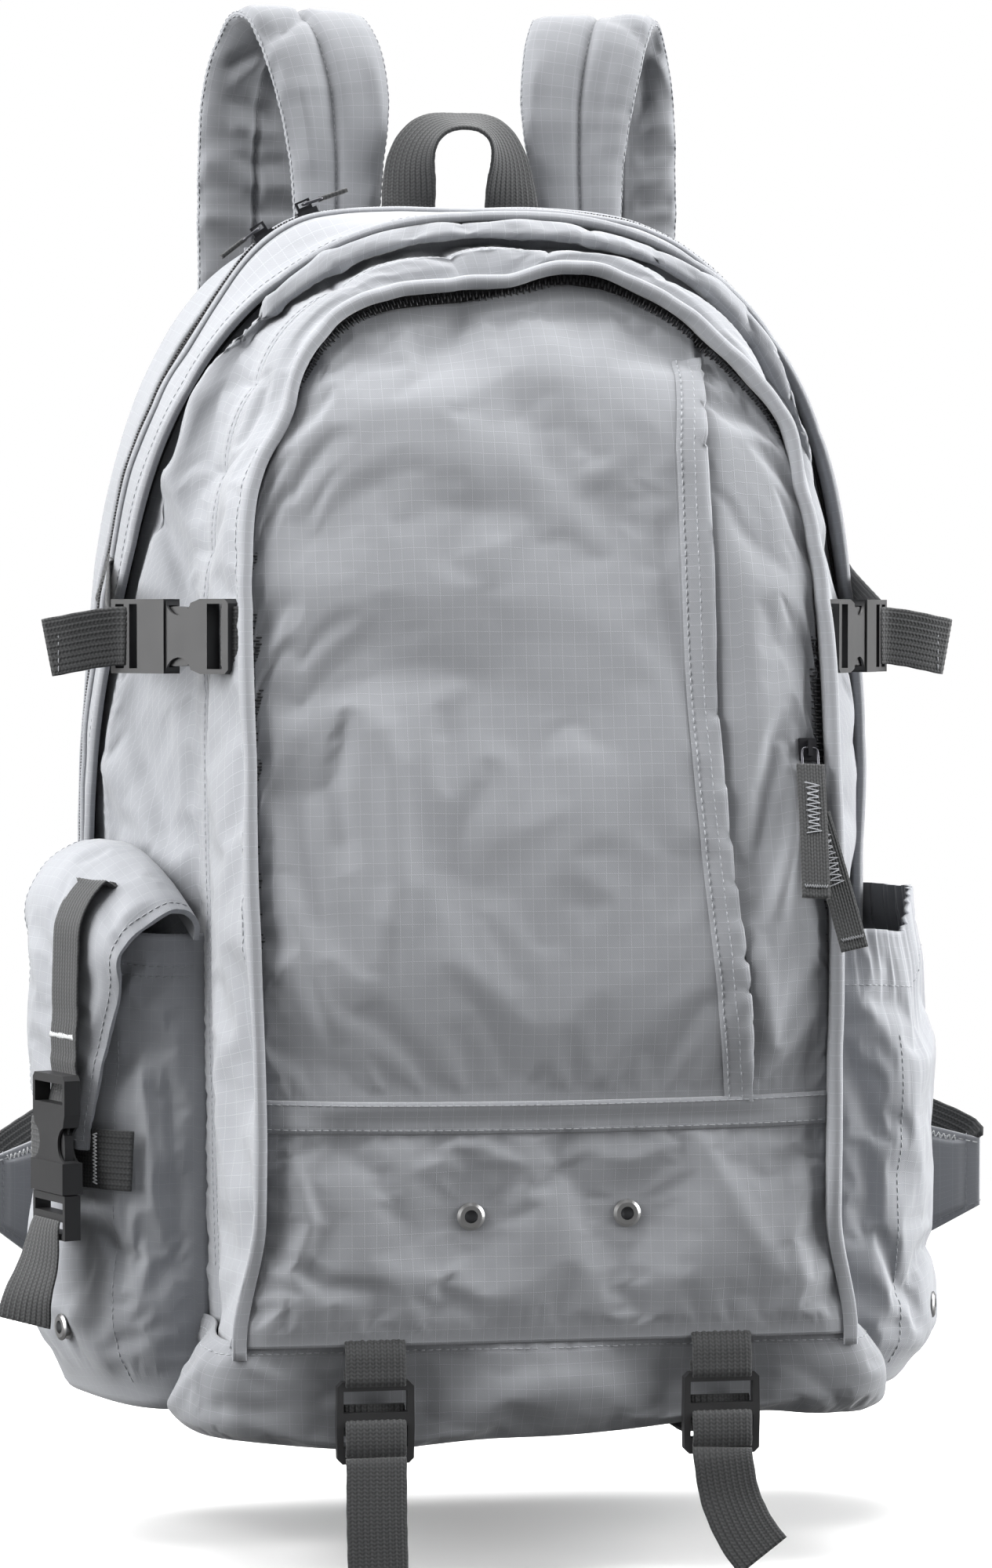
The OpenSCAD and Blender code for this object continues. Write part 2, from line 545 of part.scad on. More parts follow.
// Section as fractions of [width, thickness].
strap_section = [[0.5, 0], [0.46, 0.3], [0.36, 0.45], [0.12, 0.5], [-0.12, 0.5],
  [-0.36, 0.45], [-0.46, 0.3], [-0.5, 0], [-0.46, -0.3], [-0.36, -0.45], [-0.12, -0.5],
  [0.12, -0.5], [0.36, -0.45], [0.46, -0.3]];
strap_t = 12;
module shoulder_strap(side) color(grey) {
  lift = strap_top_z - strap_table_top_z;
  points = [for (s = strap_stations)
    to_side(side, s[0]) + [0, 0, lift * clamp((s[0][2] - 520) / 70)]];
  t = tangents(points);
  // the mirrored strap takes its section backwards to keep its faces outward
  section = [for (j = [0:13]) strap_section[side > 0 ? j : 13 - j]];
  skin([for (i = [0:len(points) - 1])
    let (u = square_to(to_side(side, strap_stations[i][1]), t[i]),
         width = strap_stations[i][2] * strap_w / strap_table_w,
         thickness = i == 0 ? strap_t / 2 : strap_t)
    [for (q = section)
      points[i] + u * width * q[0] + cross(u, t[i]) * side * thickness * q[1]]]);
}
module strap_adjuster(side) {
  down = unit([side * 0.16, -0.12, -1]);
  across = unit(cross([0, 1, 0], down));
  place([side * 105.5, 153.6, 203] + down * 3, across, cross(-down, across), -down)
    ladder_lock();
}

// How far out the tip of each wing reaches.
function tip_x(side) = side < 0 ? 215 : 231;
// Webbing from the strap adjuster to the wing: [centre, width direction].
module lower_web(side) color(dark) {
  tip = tip_x(side);
  stations = [
    [[113.5, 149.2, 157], [1, 0, 0.2]],
    [[119, 147, 148], [0.95, 0.04, 0.4]],
    [[134, 137, 138], [0.8, 0.02, 0.7]],
    [[tip * 0.5 + 50, 121, 135], [0.62, -0.12, 0.85]],
    [[tip - 36, 106, 129], [0.5, -0.25, 0.9]],
    [[tip - 24, 91, 117], [0.45, -0.32, 0.9]],
    [[tip - 15, 74.5, 101], [0.42, -0.34, 0.9]]];
  strip([for (s = stations) to_side(side, s[0])], [for (s = stations) to_side(side, s[1])],
    web_w, web_t);
}
// Cloth wings at the foot of the back: [x, front y, bottom z, top z].
module strap_wings() color(grey) for (side = [-1, 1]) {
  tip = tip_x(side);
  stations = [[150, 108.6, 22, 116], [167, 106.4, 26, 114],
    [188 - (226 - tip) * 0.8, 84, 34, 109], [tip - 22, 70, 41, 104], [tip - 3, 62, 76, 86]];
  skin([for (s = stations)
    let (x = side * s[0], rear_y = s[1] + 2.8,
         loop = [[x, s[1], s[2]], [x, s[1], s[3]], [x, rear_y, s[3]], [x, rear_y, s[2]]])
    [for (i = [0:3]) loop[side > 0 ? i : 3 - i]]]);
}

back_panel();
frame_sheet();
inner_sleeve();
rear_gusset();
middle_shell();
base_tray();
base_board();
main_zip();
main_slider(left_slider_angle);  // main_zip_slider_left
main_pull(left_slider_angle, up = false);  // main_zip_pull_left
main_slider(right_slider_angle);  // main_zip_slider_right
main_pull(right_slider_angle, up = true);  // main_zip_pull_right
middle_flap_welt();
middle_zip();
middle_slider();
front_gusset();
front_zip();
front_flap_welt();
front_slider(upper_slider_z);  // front_slider_upper
front_pull(upper_slider_z, tilt = 13, lean = -3);  // front_pull_upper
front_slider(lower_slider_z);  // front_slider_lower
front_pull(lower_slider_z, tilt = 8, lean = 12);  // front_pull_lower
front_panel();
placket();
seam_band();
lower_front_panel();
front_eyelets();
side_pocket(-1);  // left_pocket
pocket_flap();
flap_strap();
at_flap_buckle() sr_female();  // flap_buckle_female
at_flap_buckle() sr_male();  // flap_buckle_male
flap_tail();
side_pocket(1);  // right_pocket
drain_eyelets();
compression_loops();
at_comp(-1) sr_female();  // compression_female_left
at_comp(-1) sr_male();  // compression_male_left
comp_web(-1);  // compression_web_left
comp_tail(-1);  // compression_tail_left
at_comp(1) sr_female();  // compression_female_right
at_comp(1) sr_male();  // compression_male_right
comp_web(1);  // compression_web_right
comp_tail(1);  // compression_tail_right
grab_handle();
strap_yoke();
shoulder_strap(-1);  // shoulder_strap_left
strap_adjuster(-1);  // strap_adjuster_left
lower_web(-1);  // lower_web_left
shoulder_strap(1);  // shoulder_strap_right
strap_adjuster(1);  // strap_adjuster_right
lower_web(1);  // lower_web_right
strap_wings();
lash_loops();
lash_lock(-1);  // lash_lock_left
lash_lock(1);  // lash_lock_right
lash_tail_left();
lash_tail_right();
lash_straps();
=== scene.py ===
import math, json
import bmesh
import bpy
import numpy as np
from mathutils import Vector, Matrix


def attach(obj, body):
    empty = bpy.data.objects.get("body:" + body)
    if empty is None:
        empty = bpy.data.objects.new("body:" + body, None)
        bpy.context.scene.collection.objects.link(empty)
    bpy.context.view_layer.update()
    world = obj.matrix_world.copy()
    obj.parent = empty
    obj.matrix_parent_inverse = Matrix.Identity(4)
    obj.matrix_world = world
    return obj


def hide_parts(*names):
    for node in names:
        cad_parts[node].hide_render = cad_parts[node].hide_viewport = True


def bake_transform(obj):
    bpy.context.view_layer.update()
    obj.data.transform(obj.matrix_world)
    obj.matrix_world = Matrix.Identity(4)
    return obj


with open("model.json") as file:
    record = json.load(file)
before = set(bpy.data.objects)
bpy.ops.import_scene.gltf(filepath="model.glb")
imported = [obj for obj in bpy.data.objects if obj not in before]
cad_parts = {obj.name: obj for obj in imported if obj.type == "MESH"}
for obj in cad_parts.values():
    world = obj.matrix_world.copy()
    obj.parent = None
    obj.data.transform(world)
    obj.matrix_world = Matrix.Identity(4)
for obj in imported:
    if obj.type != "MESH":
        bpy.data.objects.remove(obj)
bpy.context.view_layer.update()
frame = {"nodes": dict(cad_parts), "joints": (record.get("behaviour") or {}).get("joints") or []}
NODES, JOINTS = frame["nodes"], frame["joints"]
TAU = 2 * math.pi
rng = np.random.default_rng(7)


# ------------------------------------------------------------------ numbers
def sm(x, a, b):
    t = np.clip((np.asarray(x, float) - a) / (b - a), 0, 1)
    return t * t * (3 - 2 * t)


def unit(v):
    v = np.asarray(v, float)
    return v / (np.linalg.norm(v, axis=-1, keepdims=True) + 1e-12)


def spow(a, p):
    return np.sign(a) * np.abs(a) ** p


_tab = np.random.default_rng(3).random((64, 64, 64)).astype(np.float32)


def noise(P, size, seed=0.0):
    """Smooth value noise in -1..1 at points P (mm), with cells of the given size (mm)."""
    Q = np.asarray(P, float) / np.asarray(size, float) + seed * 7.31
    i = np.floor(Q).astype(int)
    f = Q - i
    f = f * f * (3 - 2 * f)
    out = 0
    for dx in (0, 1):
        for dy in (0, 1):
            for dz in (0, 1):
                w = (f[..., 0] if dx else 1 - f[..., 0]) * (f[..., 1] if dy else 1 - f[..., 1]) * (f[..., 2] if dz else 1 - f[..., 2])
                out = out + w * _tab[(i[..., 0] + dx) % 64, (i[..., 1] + dy) % 64, (i[..., 2] + dz) % 64]
    return out * 2 - 1


def fbm(P, size, seed=0.0, octaves=3, gain=0.5):
    out, amp, s = 0, 1.0, np.asarray(size, float)
    for k in range(octaves):
        out = out + amp * noise(P, s, seed + k * 1.7)
        amp *= gain
        s = s * 0.5
    return out


# camera model, used for the camera and to place folds as the camera sees them (millimetres)
AZ, EL, DIST, TGT, FPX = math.radians(-10), math.radians(2), 2000.0, np.array([0, 0, 262.0]), 6004.0
BACK = np.array([math.sin(AZ) * math.cos(EL), -math.cos(AZ) * math.cos(EL), math.sin(EL)])
EYE = TGT + DIST * BACK
RIGHT = np.array([math.cos(AZ), math.sin(AZ), 0])
UP = np.cross(RIGHT, -BACK)


def view_xy(P):
    v = np.asarray(P, float) - EYE
    d = v @ -BACK
    return 640 + FPX * (v @ RIGHT) / d, 1000 - FPX * (v @ UP) / d


def seg_dist(x, y, a, b):
    ax, ay, bx, by = a[0], a[1], b[0], b[1]
    dx, dy = bx - ax, by - ay
    L = math.hypot(dx, dy)
    t = ((x - ax) * dx + (y - ay) * dy) / (L * L)
    side = ((x - ax) * dy - (y - ay) * dx) / L
    tc = np.clip(t, 0, 1)
    d = np.hypot(x - ax - tc * dx, y - ay - tc * dy)
    return d, tc, side


def creases(P, N, marks):
    """Push points along their normals by ridges (+) and valleys (-). Each mark is (points in view units, width, depth mm)."""
    X, Y = view_xy(P)
    D = np.zeros(X.shape)
    for pts, w, dep in marks:
        best = np.full(X.shape, 1e9)
        s = np.zeros(X.shape)
        n = len(pts) - 1
        for k in range(n):
            d, t, _ = seg_dist(X, Y, pts[k], pts[k + 1])
            m = d < best
            best = np.where(m, d, best)
            s = np.where(m, (k + t) / n, s)
        D += dep * np.exp(-(best / w) ** 2) * np.clip(np.sin(np.pi * np.clip(s, 0.02, 0.98)) * 1.7, 0, 1)
    return P + N * D[..., None]


def cat(rows, s):
    """Catmull-Rom through rows (k, n, 3) at fractional positions s."""
    rows = np.asarray(rows, float)
    k = len(rows)
    s = np.clip(np.asarray(s, float), 0, k - 1 - 1e-9)
    i = np.floor(s).astype(int)
    f = (s - i)[:, None, None]
    g = lambda j: rows[np.clip(j, 0, k - 1)]
    a, b, c, d = g(i - 1), g(i), g(i + 1), g(i + 2)
    return 0.5 * ((2 * b) + (c - a) * f + (2 * a - 5 * b + 4 * c - d) * f * f + (3 * b - a - 3 * c + d) * f ** 3)


def resample(P, n=None, step=None, closed=False):
    P = np.asarray(P, float)
    L = np.r_[0, np.cumsum(np.linalg.norm(np.diff(P, axis=0), axis=1))]
    if n is None:
        n = max(2, int(L[-1] / step) + 1)
    q = np.linspace(0, L[-1], n)
    return np.stack([np.interp(q, L, P[:, k]) for k in range(P.shape[1])], -1)


def smooth_path(pts, step=1.5):
    pts = np.asarray(pts, float)
    k = len(pts)
    d = cat(pts[:, None, :], np.linspace(0, k - 1, 40 * k))[:, 0, :]
    return resample(d, step=step)


def grid_normals(P, close=False):
    if close:
        Q = np.concatenate([P[:, -1:], P, P[:, :1]], 1)
        du = np.gradient(Q, axis=1)[:, 1:-1]
    else:
        du = np.gradient(P, axis=1)
    dv = np.gradient(P, axis=0)
    return unit(np.cross(du, dv))


# ------------------------------------------------------------------ meshes
MADE = {}


def mesh(name, V, F, uv=None, mat=None, smooth=True):
    V = np.asarray(V, float) * 0.001
    me = bpy.data.meshes.new(name)
    me.from_pydata(V.tolist(), [], F if isinstance(F, list) else F.tolist())
    if uv is not None:
        lay = me.uv_layers.new(name="UVMap")
        idx = np.empty(len(me.loops), int)
        me.loops.foreach_get("vertex_index", idx)
        lay.data.foreach_set("uv", (np.asarray(uv, float)[idx] * 0.001).astype(np.float32).ravel())
    me.polygons.foreach_set("use_smooth", [smooth] * len(me.polygons))
    me.update()
    ob = bpy.data.objects.new(name, me)
    bpy.context.scene.collection.objects.link(ob)
    if mat is not None:
        me.materials.append(mat)
    MADE[name] = ob
    return ob


def grid_faces(m, n, close_u=False, close_v=False, off=0):
    i = np.arange(m * n).reshape(m, n) + off
    if close_u:
        i = np.concatenate([i, i[:, :1]], 1)
    if close_v:
        i = np.concatenate([i, i[:1]], 0)
    return np.stack([i[:-1, :-1], i[:-1, 1:], i[1:, 1:], i[1:, :-1]], -1).reshape(-1, 4)


def grid_uv(P):
    du = np.linalg.norm(np.diff(P, axis=1), axis=2).mean(0)
    dv = np.linalg.norm(np.diff(P, axis=0), axis=2).mean(1)
    u, v = np.r_[0, np.cumsum(du)], np.r_[0, np.cumsum(dv)]
    U, W = np.meshgrid(u, v)
    return np.stack([U, W], -1).reshape(-1, 2)


def sheet(name, P, mat, uv=None, thick=0.0, flip=False, close_u=False):
    """A cloth sheet from a grid of points (rows, columns, 3). With thick it is a closed shell of that thickness."""
    m, n, _ = P.shape
    uv = grid_uv(P) if uv is None else np.asarray(uv, float).reshape(-1, 2)
    F = grid_faces(m, n, close_u)
    if flip:
        F = F[:, ::-1]
    if not thick:
        return mesh(name, P.reshape(-1, 3), F, uv, mat)
    N = grid_normals(P, close_u) * (-1 if flip else 1)
    Q = P - N * thick
    V = np.concatenate([P.reshape(-1, 3), Q.reshape(-1, 3)])
    F2 = F[:, ::-1] + m * n
    i = np.arange(m * n).reshape(m, n)
    rim = []
    edges = [i[0, :], i[-1, ::-1]] + ([] if close_u else [i[::-1, 0], i[:, -1]])
    for k, e in enumerate(edges):
        e2 = np.r_[e, e[:1]] if close_u else e
        a, b = e2[:-1], e2[1:]
        rim.append(np.stack([b, a, a + m * n, b + m * n], -1) if not flip else np.stack([a, b, b + m * n, a + m * n], -1))
    return mesh(name, V, np.concatenate([F, F2] + rim), np.concatenate([uv, uv]), mat)


def sweep_data(P, U, V, sec, closed=False, caps=True, uv0=(0, 0)):
    """Tube: centre P (k,3), axes U and V (k,3), section (j,2) or (k,j,2), in mm."""
    P, U, V = (np.asarray(a, float) for a in (P, U, V))
    k = len(P)
    sec = np.asarray(sec, float)
    if sec.ndim == 2:
        sec = np.broadcast_to(sec, (k,) + sec.shape)
    j = sec.shape[1]
    G = P[:, None] + U[:, None] * sec[..., :1] + V[:, None] * sec[..., 1:]
    F = grid_faces(k, j, True, closed).tolist()
    if caps and not closed:
        F.append(list(range(j - 1, -1, -1)))
        F.append(list(range((k - 1) * j, k * j)))
    L = np.r_[0, np.cumsum(np.linalg.norm(np.diff(P, axis=0), axis=1))]
    uv = np.stack([np.broadcast_to(sec[:, :, 0], (k, j)), np.broadcast_to(L[:, None], (k, j))], -1).reshape(-1, 2)
    return G.reshape(-1, 3), F, uv


class Bag:
    """Collects several pieces into one mesh."""

    def __init__(self):
        self.V, self.F, self.uv, self.n = [], [], [], 0

    def add(self, V, F, uv=None):
        V = np.asarray(V, float)
        F = F.tolist() if isinstance(F, np.ndarray) else F
        self.F += [[a + self.n for a in f] for f in F]
        self.V.append(V)
        self.uv.append(np.zeros((len(V), 2)) if uv is None else np.asarray(uv, float))
        self.n += len(V)

    def make(self, name, mat):
        return mesh(name, np.concatenate(self.V), self.F, np.concatenate(self.uv), mat)


def tangents(P, closed=False):
    P = np.asarray(P, float)
    if closed:
        return unit(np.roll(P, -1, 0) - np.roll(P, 1, 0))
    return unit(np.gradient(P, axis=0))


def frames_from(P, W, closed=False):
    """Tangent, width direction made square to it, and the third axis."""
    T = tangents(P, closed)
    W = np.asarray(W, float)
    W = unit(W - T * np.sum(W * T, 1, keepdims=True))
    return T, W, np.cross(W, T)


def ring(r, n=10, ry=None):
    a = np.arange(n) / n * TAU
    return np.stack([r * np.cos(a), (ry or r) * np.sin(a)], -1)


def interp_rows(A, n):
    A = np.asarray(A, float)
    q = np.linspace(0, len(A) - 1, n)
    return np.stack([np.interp(q, np.arange(len(A)), A[:, k]) for k in range(A.shape[1])], -1)


def webbing_data(pts, wdirs, width=25.0, thick=1.5, ribs=10, step=1.6, smooth=True):
    P = smooth_path(pts, step) if smooth else resample(pts, step=step)
    W = unit(interp_rows(wdirs, len(P)))
    T, U, B = frames_from(P, W)
    nx = ribs * 4 + 1
    x = np.linspace(-0.5, 0.5, nx)
    rib = 0.16 * np.cos(x * ribs * TAU)
    edge = np.clip((0.5 - np.abs(x)) / 0.028, 0, 1) ** 0.5
    h = (thick / 2 - 0.16 + rib) * (0.35 + 0.65 * edge)
    sec = np.concatenate([np.stack([x * width, h], -1), np.stack([x[::-1] * width, -h[::-1]], -1)])
    wv = 1 + 0.006 * np.sin(np.arange(len(P)) * 1.1)
    S = np.broadcast_to(sec, (len(P),) + sec.shape).copy()
    S[..., 0] *= wv[:, None]
    return sweep_data(P, U, B, S), (P, U, B)


def webbing(name, pts, wdirs, mat, **k):
    (V, F, uv), fr = webbing_data(pts, wdirs, **k)
    ob = mesh(name, V, F, uv, mat)
    return ob, fr


THREADS = {}


def pill(bag, c, d, n, L, r):
    """One stitch: a rounded thread of length L along d, standing along n."""
    d, n = unit(d), unit(n)
    s = np.cross(d, n)
    xs = np.array([-0.5, -0.38, 0, 0.38, 0.5]) * L
    rr = np.array([0.25, 0.8, 1.0, 0.8, 0.25]) * r
    lift = np.array([-0.9, -0.2, 0.25, -0.2, -0.9]) * r
    a = np.arange(6) / 6 * TAU
    V = (c[None, None] + d * xs[:, None, None] + n * (lift[:, None] + rr[:, None] * np.cos(a))[..., None] + s * (rr[:, None] * np.sin(a))[..., None]).reshape(-1, 3)
    bag.add(V, grid_faces(5, 6, True).tolist() + [[5, 4, 3, 2, 1, 0], [24, 25, 26, 27, 28, 29]])


def stitch_line(key, P, N, pitch=3.3, L=2.5, r=0.28, lift=0.1):
    """Stitches along a path P with surface normals N, into the thread bag named key = (thread, body)."""
    P, N = np.asarray(P, float), unit(N)
    D = np.r_[0, np.cumsum(np.linalg.norm(np.diff(P, axis=0), axis=1))]
    if D[-1] < pitch:
        return
    q = np.arange(pitch / 2, D[-1], pitch)
    at = lambda A, q: np.stack([np.interp(q, D, A[:, k]) for k in range(3)], -1)
    C, NN = at(P, q), unit(at(N, q))
    T = unit(at(P, q + 0.6) - at(P, q - 0.6))
    bag = THREADS.setdefault(key, Bag())
    for c, t, n in zip(C, T, NN):
        pill(bag, c + n * lift, t, n, L, r)


def bar_tack(key, c, along, n, L=18.0, w=2.4, passes=14, r=0.3):
    """A dense zigzag of thread, length L along one direction and w across it."""
    c, along, n = np.asarray(c, float), unit(along), unit(n)
    n = unit(n - along * (n @ along))
    s = np.cross(n, along)
    k = passes * 2 + 1
    t = np.linspace(-0.5, 0.5, k)
    P = c + along * (t * L)[:, None] + s * (np.where(np.arange(k) % 2, 0.5, -0.5) * w)[:, None] + n * 0.25
    P = resample(P, n=k * 3)
    T, U, B = frames_from(P, np.broadcast_to(n, P.shape))
    V, F, uv = sweep_data(P, U, B, ring(r, 5))
    THREADS.setdefault(key, Bag()).add(V, F, uv)


def sample(P, r, c):
    """Bilinear sample of a grid (rows, cols, 3) at fractional rows r and columns c."""
    m, n = P.shape[:2]
    r = np.clip(np.broadcast_to(r, np.shape(c)).astype(float), 0, m - 1.001)
    c = np.clip(np.asarray(c, float), 0, n - 1.001)
    i, j = r.astype(int), c.astype(int)
    fr, fc = (r - i)[:, None], (c - j)[:, None]
    return (P[i, j] * (1 - fr) * (1 - fc) + P[i + 1, j] * fr * (1 - fc) + P[i, j + 1] * (1 - fr) * fc + P[i + 1, j + 1] * fr * fc)


# ------------------------------------------------------------------ materials
class NT:
    def __init__(self, name):
        self.mat = bpy.data.materials.new(name)
        self.mat.use_nodes = True
        self.t = self.mat.node_tree
        self.bsdf = self.t.nodes["Principled BSDF"]

    def node(self, kind, **k):
        n = self.t.nodes.new(kind)
        for a, v in k.items():
            setattr(n, a, v)
        return n

    def put(self, sock, v):
        if isinstance(v, bpy.types.NodeSocket):
            self.t.links.new(v, sock)
        elif v is not None:
            sock.default_value = v

    def m(self, op, a, b=None, c=None, clamp=False):
        n = self.node("ShaderNodeMath", operation=op, use_clamp=clamp)
        for s, v in zip(n.inputs, (a, b, c)):
            self.put(s, v)
        return n.outputs[0]

    def noise(self, vec, scale, detail=2.0, rough=0.5, dist=0.0):
        n = self.node("ShaderNodeTexNoise")
        self.put(n.inputs["Vector"], vec)
        n.inputs["Scale"].default_value = scale
        n.inputs["Detail"].default_value = detail
        n.inputs["Roughness"].default_value = rough
        n.inputs["Distortion"].default_value = dist
        return n.outputs["Fac"]

    def mix(self, f, a, b):
        n = self.node("ShaderNodeMix", data_type="RGBA")
        self.put(n.inputs["Factor"], f)
        self.put(n.inputs["A"], a if isinstance(a, bpy.types.NodeSocket) else tuple(a) + (1,))
        self.put(n.inputs["B"], b if isinstance(b, bpy.types.NodeSocket) else tuple(b) + (1,))
        return n.outputs["Result"]

    def uv(self):
        s = self.node("ShaderNodeSeparateXYZ")
        self.t.links.new(self.node("ShaderNodeTexCoord").outputs["UV"], s.inputs[0])
        return s.outputs[0], s.outputs[1]

    def obj(self):
        return self.node("ShaderNodeTexCoord").outputs["Object"]

    def step(self, x, a, b):
        n = self.node("ShaderNodeMapRange", interpolation_type="SMOOTHSTEP")
        self.put(n.inputs[0], x)
        n.inputs[1].default_value, n.inputs[2].default_value = a, b
        return n.outputs[0]

    def bump(self, h, strength, dist, normal=None):
        n = self.node("ShaderNodeBump")
        n.inputs["Strength"].default_value = strength
        n.inputs["Distance"].default_value = dist
        self.put(n.inputs["Height"], h)
        if normal is not None:
            self.put(n.inputs["Normal"], normal)
        return n.outputs[0]

    def out(self, **k):
        for a, v in k.items():
            self.put(self.bsdf.inputs[a.replace("_", " ")], v)
        return self.mat


def ripstop(name, col, cell=0.0049, contrast=0.16, rough=0.82, twill=0.00078):
    """Light ripstop: fine twill, a square grid of thicker threads, slight mottling and soft sheen."""
    t = NT(name)
    u, v = t.uv()
    wob = t.noise(t.obj(), 60, 2)
    uu = t.m("ADD", u, t.m("MULTIPLY", t.m("SUBTRACT", wob, 0.5), 0.0005))
    vv = t.m("ADD", v, t.m("MULTIPLY", t.m("SUBTRACT", wob, 0.5), -0.0005))

    def lines(a, b):
        d = t.m("ABSOLUTE", t.m("SUBTRACT", t.m("FRACT", t.m("DIVIDE", a, cell)), 0.5))
        l = t.step(d, 0.052, 0.018)
        dots = t.m("MULTIPLY_ADD", t.m("SINE", t.m("MULTIPLY", b, TAU / 0.0011)), 0.28, 0.72)
        return t.m("MULTIPLY", l, dots)

    grid = t.m("MAXIMUM", lines(uu, vv), lines(vv, uu))
    tw = t.m("SINE", t.m("MULTIPLY", t.m("ADD", u, t.m("MULTIPLY", v, 1.15)), TAU / twill))
    tw = t.m("MULTIPLY_ADD", tw, 0.5, 0.5)
    cloud = t.noise(t.obj(), 22, 4, 0.6)
    fine = t.noise(t.obj(), 1500, 2, 0.7)
    lo, hi = [c * 0.86 for c in col], [min(1, c * 1.1) for c in col]
    c1 = t.mix(t.step(cloud, 0.25, 0.75), [c * 0.97 for c in col], [c * 1.03 for c in col])
    c2 = t.mix(t.m("MULTIPLY", tw, 0.34), c1, lo)
    c3 = t.mix(t.m("MULTIPLY", fine, 0.22), c2, hi)
    c4 = t.mix(t.m("MULTIPLY", grid, contrast * 3.0, clamp=True), c3, [min(1, c * 1.42) for c in col])
    h = t.m("ADD", t.m("MULTIPLY", tw, 0.4), t.m("ADD", t.m("MULTIPLY", grid, 0.75), t.m("MULTIPLY", fine, 0.25)))
    b = t.bump(h, 0.38, 0.00016)
    return t.out(Base_Color=c4, Roughness=t.m("MULTIPLY_ADD", cloud, 0.1, rough - 0.05), Normal=b, Sheen_Weight=0.22, Sheen_Roughness=0.45, Specular_IOR_Level=0.28)


def web_mat(name, col, rough=0.78):
    """Webbing: lengthwise ribs with a fine cross weave."""
    t = NT(name)
    u, v = t.uv()
    rib = t.m("MULTIPLY_ADD", t.m("COSINE", t.m("MULTIPLY", u, TAU / 0.00125)), 0.5, 0.5)
    row = t.m("MULTIPLY_ADD", t.m("SINE", t.m("ADD", t.m("MULTIPLY", v, TAU / 0.0016), t.m("MULTIPLY", t.m("COSINE", t.m("MULTIPLY", u, TAU / 0.0025)), 1.5))), 0.5, 0.5)
    fine = t.noise(t.obj(), 1900, 2, 0.7)
    cloud = t.noise(t.obj(), 70, 3)
    f = t.m("MULTIPLY", t.m("ADD", t.m("MULTIPLY", rib, 0.5), t.m("MULTIPLY", row, 0.5)), t.m("MULTIPLY_ADD", fine, 0.6, 0.7), clamp=True)
    c = t.mix(f, [k * 0.5 for k in col], [k * 1.5 for k in col])
    c = t.mix(t.m("MULTIPLY", cloud, 0.3), c, [k * 1.25 for k in col])
    h = t.m("ADD", t.m("MULTIPLY", rib, 0.35), t.m("ADD", t.m("MULTIPLY", row, 0.5), t.m("MULTIPLY", fine, 0.3)))
    return t.out(Base_Color=c, Roughness=rough, Normal=t.bump(h, 0.7, 0.00022), Sheen_Weight=0.18, Specular_IOR_Level=0.3)


def plastic(name, col, rough=0.42):
    t = NT(name)
    fine = t.noise(t.obj(), 1300, 3, 0.6)
    cloud = t.noise(t.obj(), 90, 3)
    c = t.mix(cloud, [k * 0.85 for k in col], [k * 1.2 for k in col])
    return t.out(Base_Color=c, Roughness=t.m("MULTIPLY_ADD", cloud, 0.16, rough - 0.06), Normal=t.bump(fine, 0.16, 0.0001), Specular_IOR_Level=0.5)


def metal(name, col, rough=0.3, metallic=1.0):
    t = NT(name)
    fine = t.noise(t.obj(), 900, 4, 0.6)
    cloud = t.noise(t.obj(), 160, 3)
    c = t.mix(cloud, [k * 0.75 for k in col], [k * 1.15 for k in col])
    return t.out(Base_Color=c, Metallic=metallic, Roughness=t.m("MULTIPLY_ADD", fine, 0.22, rough - 0.08), Normal=t.bump(fine, 0.12, 0.00008))


def thread_mat(name, col):
    t = NT(name)
    fine = t.noise(t.obj(), 2600, 2)
    return t.out(Base_Color=t.mix(fine, [k * 0.8 for k in col], [min(1, k * 1.15) for k in col]), Roughness=0.62, Sheen_Weight=0.2, Normal=t.bump(fine, 0.4, 0.0001))


def mesh_mat(name, col):
    """Spacer mesh for the back: small hexagon-like holes, with painted shade in their depth."""
    t = NT(name)
    u, v = t.uv()
    a = t.m("SINE", t.m("MULTIPLY", u, TAU / 0.0034))
    b = t.m("SINE", t.m("MULTIPLY", v, TAU / 0.0034))
    hole = t.step(t.m("MULTIPLY", a, b), 0.15, 0.6)
    fine = t.noise(t.obj(), 1500, 2)
    # painted shade: the holes are coloured at 0.35 of the mesh colour
    c = t.mix(hole, [k * 1.1 for k in col], [k * 0.35 for k in col])
    c = t.mix(t.m("MULTIPLY", fine, 0.3), c, [k * 1.4 for k in col])
    return t.out(Base_Color=c, Roughness=0.85, Normal=t.bump(t.m("SUBTRACT", 1.0, hole), 0.6, 0.0004), Sheen_Weight=0.2)


GREY = (0.262, 0.270, 0.287)
M_CLOTH = ripstop("ripstop_shell", GREY)
M_PANEL = ripstop("ripstop_front", [c * 0.93 for c in GREY])
M_POCKET = ripstop("ripstop_pocket", [c * 1.06 for c in GREY], contrast=0.10)
M_STRAP = ripstop("ripstop_strap", [c * 0.84 for c in GREY])
# painted shade: the base ripstop is a darker copy of the grey (x0.80), standing in for the shade under the pack
M_BASE_PAINTED_SHADE = ripstop("ripstop_base_painted_shade", [c * 0.80 for c in GREY])
M_WEB = web_mat("webbing_grey", (0.040, 0.041, 0.042))
M_WEBL = web_mat("webbing_light", (0.085, 0.086, 0.088))
M_BLACK = web_mat("zip_tape", (0.020, 0.020, 0.021))
M_COIL = plastic("zip_coil", (0.022, 0.022, 0.024), 0.38)
M_PLASTIC = plastic("buckle_plastic", (0.017, 0.017, 0.018), 0.46)
M_PLASTIC2 = plastic("buckle_plastic_worn", (0.055, 0.055, 0.057), 0.40)
M_STEEL = metal("eyelet_steel", (0.42, 0.42, 0.42), 0.30)
M_GUN = metal("gunmetal", (0.10, 0.10, 0.11), 0.34)
